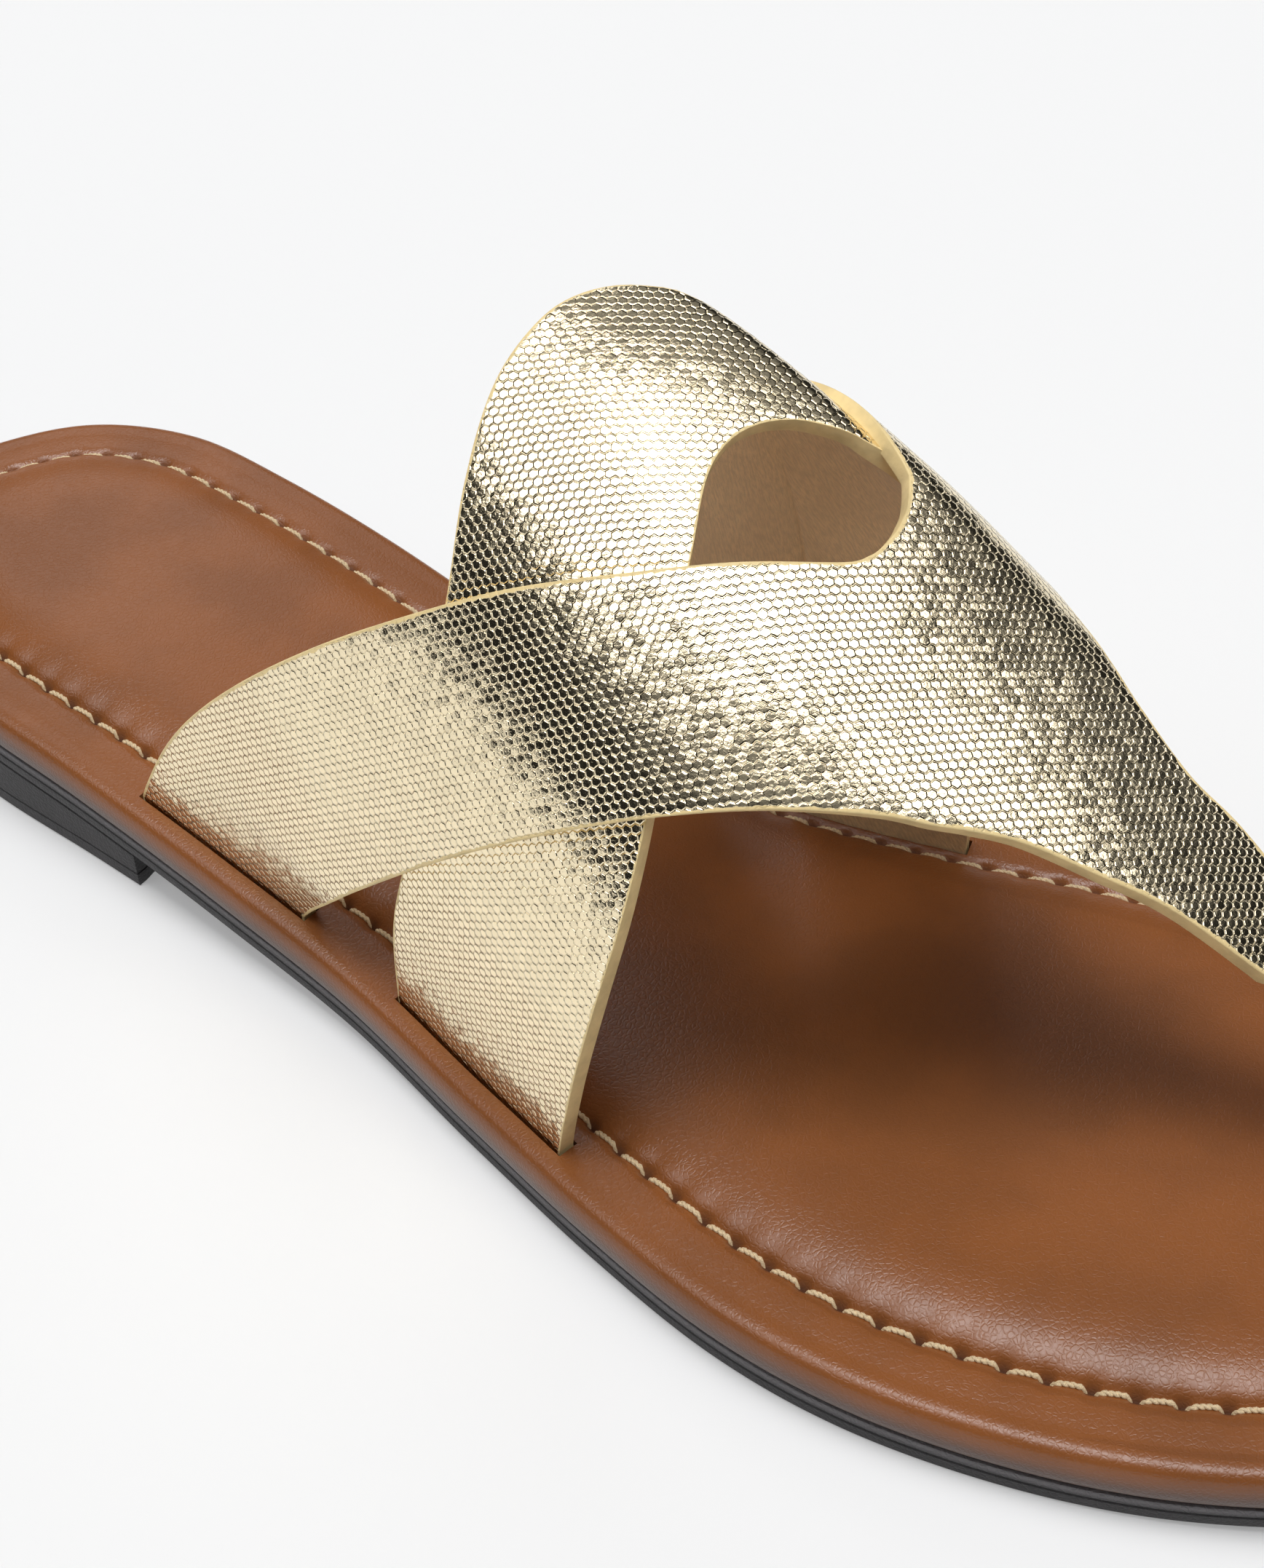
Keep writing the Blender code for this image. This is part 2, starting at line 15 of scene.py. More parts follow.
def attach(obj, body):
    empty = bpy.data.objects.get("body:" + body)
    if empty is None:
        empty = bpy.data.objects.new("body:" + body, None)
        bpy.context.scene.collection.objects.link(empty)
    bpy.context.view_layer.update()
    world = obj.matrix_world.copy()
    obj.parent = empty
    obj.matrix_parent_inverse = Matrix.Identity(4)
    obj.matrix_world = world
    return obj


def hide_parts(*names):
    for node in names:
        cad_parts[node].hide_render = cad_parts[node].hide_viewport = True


bl_info = {
    "name": "Cross strap sandal",
    "version": (1, 0, 0),
    "blender": (4, 5, 0),
    "location": "View3D > Sidebar > Sandal",
    "description": "Models the straps, stitched footbed and sole of a flat cross strap sandal",
    "category": "Object",
}

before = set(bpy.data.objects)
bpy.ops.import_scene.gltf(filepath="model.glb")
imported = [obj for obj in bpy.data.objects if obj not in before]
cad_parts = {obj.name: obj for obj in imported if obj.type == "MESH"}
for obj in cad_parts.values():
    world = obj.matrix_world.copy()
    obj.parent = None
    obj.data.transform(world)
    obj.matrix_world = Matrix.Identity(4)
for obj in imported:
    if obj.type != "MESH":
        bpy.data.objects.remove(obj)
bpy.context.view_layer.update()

# Sizes of the last

LENGTH = 0.250
BALL_WIDTH = 0.088
HEEL_RISE = 0.0090
TOE_SPRING = 0.0040
INSTEP_HEIGHT = 0.0690
OUTSOLE_THICK = 0.0030
FOOTBED_THICK = 0.0058
FIT_GAP = 0.0003
HEEL_LENGTH = 0.0695
HEEL_INSET = 0.0010
BREAST_HOLLOW = 0.0030
OUTER_SLOT_INSET = 0.0042
INNER_SLOT_INSET = 0.0059
INNER_ARM_FORWARD = 0.012
SIDE_REACH = 0.112
POCKET_DEPTH = 0.0046
POST_STATION = 0.852
POST_SIDE = 0.185
POST_THICK = 0.0030
POST_HALF_WIDTH = 0.0035
APEX_SHARE = 0.150
OUTER_FULLNESS = 0.92
INNER_FULLNESS = 1.035
LAP_BITE = 0.0005

# Shares of the length at which the slope under the heel and the toe spring start, and how long they are
HEEL_SLOPE_START = 0.10
HEEL_SLOPE_LENGTH = 0.44
TOE_SPRING_START = 0.78
TOE_SPRING_LENGTH = 0.22

# Shares of the length where the forked strap climbs over the band and where it sinks again, the share
# of its height that it loses there, and the degrees over which it rises from its feet
LAP_START = 0.32
LAP_CLIMB = 0.10
LAP_END = 0.60
LAP_DESCENT = 0.08
LAP_DROP = 0.8
LAP_FOOT = 8.0

# How finely the meshes are drawn
BAND_ACROSS = 29
BAND_ROUND = 150
FORK_ACROSS = 17
ARM_ROWS = 105
TONGUE_ROWS = 50
POST_ROWS = 37
POINTS_PER_STITCH = 12
SLOT_STEPS = 15
POST_CUT_POINTS = 24
STITCH_STEPS = 17
OUTSOLE_POINTS = 480
HEEL_POINTS = 400
BREAST_POINTS = 42
RIM_STEPS = 14
MIDDLE_RINGS = 23

# Directions in which the rows of foil pebbles run, distance of the rows in pebbles, pull of the suede nap
BAND_GRAIN = (0.88, 0.30, 0.38)
FORK_GRAIN = (0.98, 0.38, 0.50)
PEBBLE_ROW = math.sqrt(0.75)
NAP_STRETCH = 4.0

# Shares of the pocket's depth at which the strap feet have rows of points
FOOT_SHARES = (0.6, 0.25)

# Footbed: how square the rolled rim is, how far its underside and its padded middle stand in from the edge
RIM_SQUARENESS = 0.72
RIM_WIDTH_SHARE = 0.80
UNDERSIDE_INSET = 0.012
MIDDLE_INSET = 0.0148
TOP_INSETS = (
    0.0030, 0.0038, 0.0048, 0.0060, 0.0068, 0.0074, 0.0078, 0.0081, 0.0084, 0.0087, 0.0090, 0.0094,
    0.0099, 0.0106, 0.0114, 0.0124, 0.0135,
)

# Hollow under the heel of the foot, groove under the stitches, and hole between two stitches
HEEL_HOLLOW = 0.00045
HEEL_HOLLOW_X = -0.095
HEEL_HOLLOW_REACH = 0.022
HEEL_HOLLOW_START = 0.016
HEEL_HOLLOW_EASE = 0.012
CHANNEL_DEPTH = 0.00050
CHANNEL_WIDTH = 0.00070
CHANNEL_SHIFT = 0.0001
RIM_ROLL = 0.00022
RIM_ROLL_START = 0.0030
RIM_ROLL_WIDTH = 0.0040
HOLE_REACH = 0.0040
HOLE_DEPTH = 0.00060
HOLE_LENGTH = 0.00075
HOLE_WIDTH = 0.00048
PUCKER_DEPTH = 0.00022
PUCKER_LENGTH = 0.0012
PUCKER_WIDTH = 0.0016
PUCKER_INWARD = 0.0006
CUTTER_HEIGHT = 0.016
POST_CUT_GAP = 0.0002

# Line down the padded middle: gaps to its rim at heel and toe, where it is measured, share of the way filled
SPINE_HEEL_GAP = 0.013
SPINE_TOE_GAP = 0.018
SPINE_MARKS = 40
SPINE_WINDOW = 0.003
MIDDLE_REACH = 0.94

# Shares of the footbed's thickness: where its top starts from below, where the painted shade down its wall
# starts from above
TOP_SHARE = 0.8
WALL_SHADE_SHARE = 0.12

# How far down the outsole the painted highlight along its top edge goes
TOP_HIGHLIGHT_DEPTH = 0.0009

# Stitches: turns of the two plies in one stitch, how far they lie apart, where the ends and the middle lie
PLY_TURNS = 2.6
PLY_SPREAD = 0.66
PLY_LIFT = 0.50
STITCH_SLANT = 5.0
STITCH_ENDS = -0.00075
STITCH_RISE = 0.00088
STITCH_FLATNESS = 4.5
STITCH_STRETCH = 1.04

# Station along the length, inner and outer half width over the ball width
OUTLINE = (
    (0.000, 0.001, -0.001),
    (0.017, 0.151, 0.149),
    (0.048, 0.256, 0.251),
    (0.100, 0.317, 0.319),
    (0.168, 0.324, 0.344),
    (0.248, 0.319, 0.349),
    (0.340, 0.303, 0.359),
    (0.432, 0.298, 0.378),
    (0.520, 0.324, 0.427),
    (0.599, 0.382, 0.472),
    (0.671, 0.450, 0.498),
    (0.735, 0.492, 0.489),
    (0.800, 0.501, 0.444),
    (0.860, 0.477, 0.375),
    (0.917, 0.407, 0.276),
    (0.960, 0.308, 0.169),
    (0.989, 0.181, 0.060),
    (1.000, 0.043, -0.043),
)

# Station, height of the arch over the footbed as a share of the instep height
ARCH = (
    (0.26, 1.186),
    (0.36, 1.134),
    (0.44, 1.079),
    (0.52, 1.025),
    (0.60, 0.885),
    (0.68, 0.704),
    (0.76, 0.502),
    (0.81, 0.345),
    (0.86, 0.200),
)

# Degrees round the arch from the outer foot, station of the rear edge, of the front edge
BAND = (
    (0.0, 0.460, 0.574),
    (8.0, 0.462, 0.582),
    (20.0, 0.475, 0.591),
    (32.0, 0.476, 0.595),
    (44.0, 0.473, 0.590),
    (55.0, 0.463, 0.576),
    (66.0, 0.455, 0.561),
    (74.0, 0.455, 0.549),
    (80.0, 0.459, 0.549),
    (86.0, 0.471, 0.560),
    (92.0, 0.494, 0.583),
    (100.0, 0.508, 0.594),
    (112.0, 0.521, 0.602),
    (128.0, 0.530, 0.609),
    (145.0, 0.537, 0.614),
    (162.0, 0.534, 0.615),
    (180.0, 0.529, 0.612),
)

# Near edge's degrees and station, far edge's degrees and station, from the slot to the fork
ARM = (
    (0.0, 0.283, 0.0, 0.394),
    (11.7, 0.326, 4.9, 0.420),
    (30.0, 0.411, 16.3, 0.478),
    (45.0, 0.483, 30.0, 0.543),
    (57.5, 0.539, 43.3, 0.598),
    (69.3, 0.581, 53.3, 0.637),
    (76.5, 0.606, 61.0, 0.668),
    (79.6, 0.6120, 64.2, 0.6835),
    (82.0, 0.6132, 66.6, 0.694),
)
TONGUE = (
    (82.0, 0.6132, 66.6, 0.694),
    (82.1, 0.668, 70.3, 0.712),
    (82.9, 0.728, 74.2, 0.739),
    (85.8, 0.763, 77.6, 0.762),
    (88.8, 0.799, 81.8, 0.799),
)

# Share of the way to the toe post, height and width shares of the bent tongue
POST = (
    (0.00, 1.00, 1.00),
    (0.36, 0.92, 0.80),
    (0.62, 0.79, 0.55),
    (0.84, 0.61, 0.28),
    (0.96, 0.41, 0.10),
    (1.00, 0.22, 0.00),
    (1.00, 0.04, 0.00),
)


# Curves of the last

def ease(value):
    """From nought to one, flat at both ends."""
    t = np.clip(value, 0.0, 1.0)
    return t * t * (3.0 - 2.0 * t)


def through(keys, values, at):
    """Smooth curve through a table, straight beyond its ends."""
    keys = np.asarray(keys, float)
    values = np.asarray(values, float)
    at = np.asarray(at, float)
    low = np.maximum(np.arange(len(keys)) - 1, 0)
    high = np.minimum(np.arange(len(keys)) + 1, len(keys) - 1)
    slopes = (values[high] - values[low]) / (keys[high] - keys[low])
    i = np.clip(np.searchsorted(keys, at, side="right") - 1, 0, len(keys) - 2)
    span = keys[i + 1] - keys[i]
    t = np.clip((at - keys[i]) / span, 0.0, 1.0)
    value = values[i] * (1.0 + 2.0 * t) * (1.0 - t) ** 2
    value = value + slopes[i] * span * t * (1.0 - t) ** 2
    value = value + values[i + 1] * t * t * (3.0 - 2.0 * t)
    value = value + slopes[i + 1] * span * t * t * (t - 1.0)
    value = value + slopes[0] * np.minimum(at - keys[0], 0.0)
    return value + slopes[-1] * np.maximum(at - keys[-1], 0.0)


def column(table, at, k):
    """Column k of a table, read at values of its first column."""
    return through([row[0] for row in table], [row[k] for row in table], at)


def drawn_out(table, count):
    """The table's columns as smooth curves, read at so many even steps from its first row to its last."""
    at = np.linspace(0.0, len(table) - 1.0, count)
    keys = np.arange(len(table))
    return np.stack([through(keys, [row[k] for row in table], at) for k in range(len(table[0]))], axis=1)


def station_x(station):
    """Place along X of a share of the length, counted from the heel."""
    return (np.asarray(station, float) - 0.5) * LENGTH


def make_outline(steps=24):
    """Edge of the footbed in plan, counter-clockwise from the heel tip."""
    outer = [(s * LENGTH, -o * BALL_WIDTH) for s, _, o in OUTLINE[1:-1]]
    inner = [(s * LENGTH, i * BALL_WIDTH) for s, i, _ in reversed(OUTLINE[1:-1])]
    heel = (0.0, OUTLINE[0][1] * BALL_WIDTH)
    toe = (LENGTH, OUTLINE[-1][1] * BALL_WIDTH)
    controls = np.array([heel] + outer + [toe] + inner)
    points = []
    t = (np.arange(steps) / steps)[:, None]
    for i in range(len(controls)):
        p0, p1, p2, p3 = (controls[(i + k) % len(controls)] for k in (-1, 0, 1, 2))
        bend = (2.0 * p0 - 5.0 * p1 + 4.0 * p2 - p3) * t ** 2 + (3.0 * p1 - p0 - 3.0 * p2 + p3) * t ** 3
        points.append((2.0 * p1 + (p2 - p0) * t + bend) / 2.0)
    points = np.concatenate(points)
    shift = (points[:, 1].max() + points[:, 1].min()) / 2.0
    low, high = points[:, 0].min(), points[:, 0].max()
    points[:, 0] = (points[:, 0] - low) * LENGTH / (high - low) - LENGTH / 2.0
    points[:, 1] -= shift
    return points, shift


def spaced(points, count):
    """Points at equal distances round a closed plan curve."""
    closed = np.vstack([points, points[:1]])
    marks = np.concatenate([[0.0], np.cumsum(np.linalg.norm(np.diff(closed, axis=0), axis=1))])
    at = np.arange(count) / count * marks[-1]
    return np.stack([np.interp(at, marks, closed[:, k]) for k in (0, 1)], axis=1)


def inset(points, depth):
    """The closed plan curve moved inwards."""
    along = np.roll(points, -1, axis=0) - np.roll(points, 1, axis=0)
    along /= np.linalg.norm(along, axis=1)[:, None]
    return points + np.stack([-along[:, 1], along[:, 0]], axis=1) * depth


def calm(points, reach):
    """The closed plan curve averaged over its neighbours, so that a deep inset doesn't fold."""
    return sum(np.roll(points, k, axis=0) for k in range(-reach, reach + 1)) / (2 * reach + 1)


EDGE, SIDE_SHIFT = make_outline()
EDGE_TREE = KDTree(len(EDGE) * 4)
for number, (edge_x, edge_y) in enumerate(spaced(EDGE, len(EDGE) * 4)):
    EDGE_TREE.insert((edge_x, edge_y, 0.0), number)
EDGE_TREE.balance()


def slot_side(depth, inner):
    """X and Y of one long side of the inset edge, by rising X."""
    line = inset(EDGE, depth)
    half = len(line) // 2
    side = line[half:] if inner else line[:half]
    side = side[np.abs(side[:, 0]) < SIDE_REACH]
    return side[np.argsort(side[:, 0])]


OUTER_SLOTS = slot_side(OUTER_SLOT_INSET, False)
INNER_SLOTS = slot_side(INNER_SLOT_INSET, True)


def foot_y(x, inner):
    """Y of the line of slots."""
    line = INNER_SLOTS if inner else OUTER_SLOTS
    return np.interp(x, line[:, 0], line[:, 1])


def footbed_under(x):
    """Height of the footbed's underside."""
    share = np.asarray(x, float) / LENGTH + 0.5
    heel = HEEL_RISE * (1.0 - ease((share - HEEL_SLOPE_START) / HEEL_SLOPE_LENGTH))
    toe = TOE_SPRING * (np.maximum(share - TOE_SPRING_START, 0.0) / TOE_SPRING_LENGTH) ** 2
    return OUTSOLE_THICK + FIT_GAP + heel + toe


def border_top(x):
    """Height of the flat border round the footbed."""
    return footbed_under(x) + FOOTBED_THICK


def arch(x, angle, lift=0.0):
    """Points of the arch under the straps; 0 degrees at the outer foot, 180 at the inner."""
    x, angle = np.broadcast_arrays(np.asarray(x, float), np.asarray(angle, float))
    share = x / LENGTH + 0.5
    height = INSTEP_HEIGHT * column(ARCH, share, 1)
    apex = APEX_SHARE * BALL_WIDTH - SIDE_SHIFT
    foot = np.where(angle > 90.0, foot_y(x, True), foot_y(x, False))
    power = OUTER_FULLNESS + (INNER_FULLNESS - OUTER_FULLNESS) * ease((angle - 45.0) / 90.0)
    c = np.abs(np.cos(np.radians(angle)))
    s = np.maximum(np.sin(np.radians(angle)), 0.0)
    points = np.stack([x, apex + (foot - apex) * c ** power, border_top(x) + height * s ** power], axis=-1)
    if np.isscalar(lift) and lift == 0.0:
        return points
    sideways = arch(x, np.minimum(angle + 0.5, 180.0)) - arch(x, np.maximum(angle - 0.5, 0.0))
    along = arch(x + 0.0005, angle) - arch(x - 0.0005, angle)
    outward = np.cross(along, sideways)
    outward /= np.linalg.norm(outward, axis=-1)[..., None]
    outward *= np.where(outward[..., 2] < 0.0, -1.0, 1.0)[..., None]
    return points + outward * np.asarray(lift)[..., None]


def edge_depth(points):
    """Distance of plan points from the edge of the footbed."""
    return np.array([EDGE_TREE.find((p[0], p[1], 0.0))[2] for p in points])


# Settings in the sidebar

def length_setting(name, text, default):
    """A distance that a user can change."""
    return bpy.props.FloatProperty(
        name=name, description=text, default=default, min=0.0, precision=5, unit="LENGTH"
    )


def share_setting(name, text, default):
    """A share from nought to one."""
    return bpy.props.FloatProperty(
        name=name, description=text, default=default, min=0.0, max=1.0, subtype="FACTOR"
    )


def power_setting(name, text, default):
    """Power of a light in watts."""
    return bpy.props.FloatProperty(
        name=name, description=text, default=default, min=0.0, subtype="POWER", unit="POWER"
    )


def colour_setting(name, text, default):
    """A colour that a user can change."""
    return bpy.props.FloatVectorProperty(
        name=name, description=text, default=default, size=4, min=0.0, max=1.0, subtype="COLOR"
    )


class SandalStrapSettings(bpy.types.PropertyGroup):
    """Sizes and colours of the foil leather straps."""

    thickness: length_setting("Thickness", "Thickness of foil leather and lining together", 0.0019)
    edge_round: length_setting("Edge rounding", "Radius of the painted edge", 0.00062)
    pebble_pitch: length_setting("Pebble pitch", "Distance between pebbles along a row", 0.00104)
    foil_colour: colour_setting("Foil", "Colour of the metal foil", (0.97, 0.835, 0.575, 1.0))
    edge_colour: colour_setting("Edge paint", "Colour of the painted edge", (0.84, 0.65, 0.32, 1.0))
    lining_colour: colour_setting("Lining", "Colour of the suede lining", (0.88, 0.65, 0.365, 1.0))


class SandalFootbedSettings(bpy.types.PropertyGroup):
    """Sizes and colours of the padded footbed and its stitching."""

    border: length_setting("Border", "Distance of the stitching from the edge", 0.0084)
    pad_rise: length_setting("Pad rise", "Height of the padded middle over the border", 0.0020)
    pad_ease: length_setting("Pad shoulder", "Width over which the pad rises", 0.0100)
    stitch_count: bpy.props.IntProperty(
        name="Stitches", description="Number of stitches round the footbed", default=119, min=20, max=300
    )
    thread_radius: length_setting("Thread radius", "Radius of one ply of the thread", 0.00022)
    stitch_share: share_setting("Stitch share", "Visible part of each stitch's pitch", 0.74)
    leather_colour: colour_setting("Leather", "Colour of the footbed leather", (0.230, 0.0755, 0.0190, 1.0))
    thread_colour: colour_setting("Thread", "Colour of the thread", (0.80, 0.62, 0.38, 1.0))


class SandalSoleSettings(bpy.types.PropertyGroup):
    """Sizes and colours of the outsole and heel block."""

    edge_chamfer: length_setting("Edge chamfer", "Broken edge of the outsole", 0.0004)
    outsole_inset: length_setting("Outsole inset", "How far the outsole stands in from the edge", 0.0007)
    rubber_colour: colour_setting("Rubber", "Colour of the sole rubber", (0.020, 0.018, 0.019, 1.0))
    # Painted highlight: a pale band along the outsole's top edge stands in for the light that edge catches
    top_highlight_colour: colour_setting("Seam", "Colour of the outsole's glued top edge", (0.16, 0.15, 0.155, 1.0))


class SandalStageSettings(bpy.types.PropertyGroup):
    """Light and floor of the studio."""

    floor_colour: colour_setting("Floor", "Colour of the floor", (0.600, 0.600, 0.600, 1.0))
    floor_glow: share_setting("Floor glow", "Light of its own in the pale floor", 0.30)
    key_power: power_setting("Key light", "Power of the overhead softbox", 6.2)
    fill_power: power_setting("Fill light", "Power of the rear fill", 3.0)


# Modelling helpers

def pick_none():
    """Deselect everything."""
    bpy.ops.object.select_all(action="DESELECT")


def take(thing):
    """Make one object the selected and active one."""
    pick_none()
    thing.select_set(True)
    bpy.context.view_layer.objects.active = thing


@contextmanager
def editing(thing, everything=False):
    """Edit mode on one object, with all of it selected if asked."""
    take(thing)
    bpy.ops.object.mode_set(mode="EDIT")
    if everything:
        bpy.ops.mesh.select_all(action="SELECT")
    yield
    bpy.ops.object.mode_set(mode="OBJECT")


def joined(things):
    """Join the objects into the first one."""
    pick_none()
    for thing in things:
        thing.select_set(True)
    bpy.context.view_layer.objects.active = things[0]
    bpy.ops.object.join()
    return things[0]


def apply_all(thing):
    """Apply the object's modifiers in order."""
    take(thing)
    for modifier in list(thing.modifiers):
        bpy.ops.object.modifier_apply(modifier=modifier.name)


def positions(thing):
    """Vertex places of a mesh as an array."""
    flat = np.zeros(len(thing.data.vertices) * 3)
    thing.data.vertices.foreach_get("co", flat)
    return flat.reshape(-1, 3)


def place(thing, points):
    """Move the mesh's vertices to the points."""
    thing.data.vertices.foreach_set("co", np.asarray(points, float).ravel())
    thing.data.update()


def new_grid(name, columns, rows):
    """A grid with so many points across and along, in row order."""
    pick_none()
    bpy.ops.mesh.primitive_grid_add(x_subdivisions=columns - 1, y_subdivisions=rows - 1, size=1.0)
    thing = bpy.context.object
    thing.name = name
    thing.data.name = name
    return thing


def choose(thing, indices):
    """Select these vertices and the edges between them."""
    mesh = thing.data
    chosen = np.zeros(len(mesh.vertices), bool)
    chosen[indices] = True
    pairs = np.zeros(len(mesh.edges) * 2, int)
    mesh.edges.foreach_get("vertices", pairs)
    mesh.polygons.foreach_set("select", np.zeros(len(mesh.polygons), bool))
    mesh.edges.foreach_set("select", chosen[pairs.reshape(-1, 2)].all(axis=1))
    mesh.vertices.foreach_set("select", chosen)
    bpy.context.scene.tool_settings.mesh_select_mode = (False, True, False)


def close_rim(thing, indices):
    """Close an open rim with one face."""
    choose(thing, indices)
    with editing(thing):
        bpy.ops.mesh.edge_face_add()


def face_outwards(thing):
    """Turn all faces outwards."""
    with editing(thing, everything=True):
        bpy.ops.mesh.normals_make_consistent(inside=False)


def smooth(thing, degrees):
    """Smooth shading with steep edges kept."""
    take(thing)
    bpy.ops.object.shade_smooth_by_angle(angle=math.radians(degrees))


def point_mask(thing, name, values):
    """Store one number for each vertex, for the materials."""
    layer = thing.data.attributes.new(name, "FLOAT", "POINT")
    layer.data.foreach_set("value", np.asarray(values, np.float32))


def distance_to(points, others):
    """Distance of each point to the nearest of the others."""
    tree = KDTree(len(others))
    for i, other in enumerate(others):
        tree.insert(other, i)
    tree.balance()
    return np.array([tree.find(p)[2] for p in points])


# Materials

class Nodes:
    """Adds shader nodes to a tree from left to right."""

    def __init__(self, tree):
        self.tree = tree
        self.count = 0

    def add(self, kind, **settings):
        """One node with its settings."""
        node = self.tree.nodes.new(kind)
        node.location = (220 * (self.count % 9) - 1400, -240 * (self.count // 9))
        self.count += 1
        for key, value in settings.items():
            setattr(node, key, value)
        return node

    def feed(self, socket, value):
        """Link a socket to another, or set its number or colour."""
        if isinstance(value, bpy.types.NodeSocket):
            self.tree.links.new(value, socket)
        else:
            socket.default_value = value

    def fill(self, node, **values):
        """Feed a node's inputs by name, written with low lines for spaces."""
        for key, value in values.items():
            self.feed(node.inputs[key.replace("_", " ")], value)
        return node

    def spot(self):
        """Place in the object's own space."""
        return self.add("ShaderNodeTexCoord").outputs["Object"]

    def sheet(self):
        """Place on the strap's own map."""
        return self.add("ShaderNodeUVMap", uv_map="Grain").outputs[0]

    def attribute(self, name):
        """Number stored for each vertex."""
        return self.add("ShaderNodeAttribute", attribute_name=name).outputs["Fac"]

    def math(self, operation, *values):
        """Sum on numbers."""
        node = self.add("ShaderNodeMath", operation=operation)
        for socket, value in zip(node.inputs, values):
            self.feed(socket, value)
        return node.outputs[0]

    def vector(self, operation, *values):
        """Sum on vectors."""
        node = self.add("ShaderNodeVectorMath", operation=operation)
        for socket, value in zip(node.inputs, values):
            self.feed(socket, value)
        return node.outputs["Value" if operation == "DOT_PRODUCT" else "Vector"]

    def scale(self, vector, factor):
        """Vector times a number."""
        node = self.add("ShaderNodeVectorMath", operation="SCALE")
        self.feed(node.inputs[0], vector)
        self.feed(node.inputs["Scale"], factor)
        return node.outputs[0]

    def noise(self, vector, scale, detail=2.0, rough=0.5, colour=False, distortion=0.0):
        """Cloudy noise, as a number or as a colour."""
        node = self.add("ShaderNodeTexNoise")
        self.fill(node, Vector=vector, Scale=scale, Detail=detail, Roughness=rough, Distortion=distortion)
        return node.outputs["Color" if colour else "Fac"]

    def ramp(self, value, low, high, to_low=0.0, to_high=1.0):
        """Soft step from one level to another."""
        node = self.add("ShaderNodeMapRange", interpolation_type="SMOOTHSTEP")
        self.fill(node, Value=value, From_Min=low, From_Max=high, To_Min=to_low, To_Max=to_high)
        return node.outputs["Result"]

    def mix(self, factor, a, b, blend="MIX"):
        """Mix of two colours."""
        node = self.add("ShaderNodeMix", data_type="RGBA", blend_type=blend)
        for index, value in ((0, factor), (6, a), (7, b)):
            self.feed(node.inputs[index], value)
        return node.outputs[2]

    def blend(self, factor, a, b):
        """Mix of two numbers."""
        node = self.add("ShaderNodeMix", data_type="FLOAT")
        for index, value in ((0, factor), (2, a), (3, b)):
            self.feed(node.inputs[index], value)
        return node.outputs[0]

    def bump(self, height, distance):
        """Surface tilted by a height."""
        node = self.add("ShaderNodeBump")
        return self.fill(node, Strength=1.0, Distance=distance, Height=height).outputs["Normal"]

    def group(self, effect, **values):
        """Outputs of a shared effect with its inputs fed."""
        node = self.add("ShaderNodeGroup", node_tree=shared_group(*effect))
        return self.fill(node, **values).outputs


def shared_group(name, inputs, outputs, build):
    """Node group of an effect, made when first asked for; an input without a number is a vector."""
    tree = bpy.data.node_groups.get(name)
    if tree is None:
        tree = bpy.data.node_groups.new(name, "ShaderNodeTree")
        for socket, default in inputs.items():
            kind = "NodeSocketVector" if default is None else "NodeSocketFloat"
            made = tree.interface.new_socket(name=socket, in_out="INPUT", socket_type=kind)
            if default is not None:
                made.default_value = default
        for socket in outputs:
            tree.interface.new_socket(name=socket, in_out="OUTPUT", socket_type="NodeSocketFloat")
        nodes = Nodes(tree)
        entry = nodes.add("NodeGroupInput")
        leave = nodes.add("NodeGroupOutput")
        build(nodes, entry.outputs, leave)
    return tree


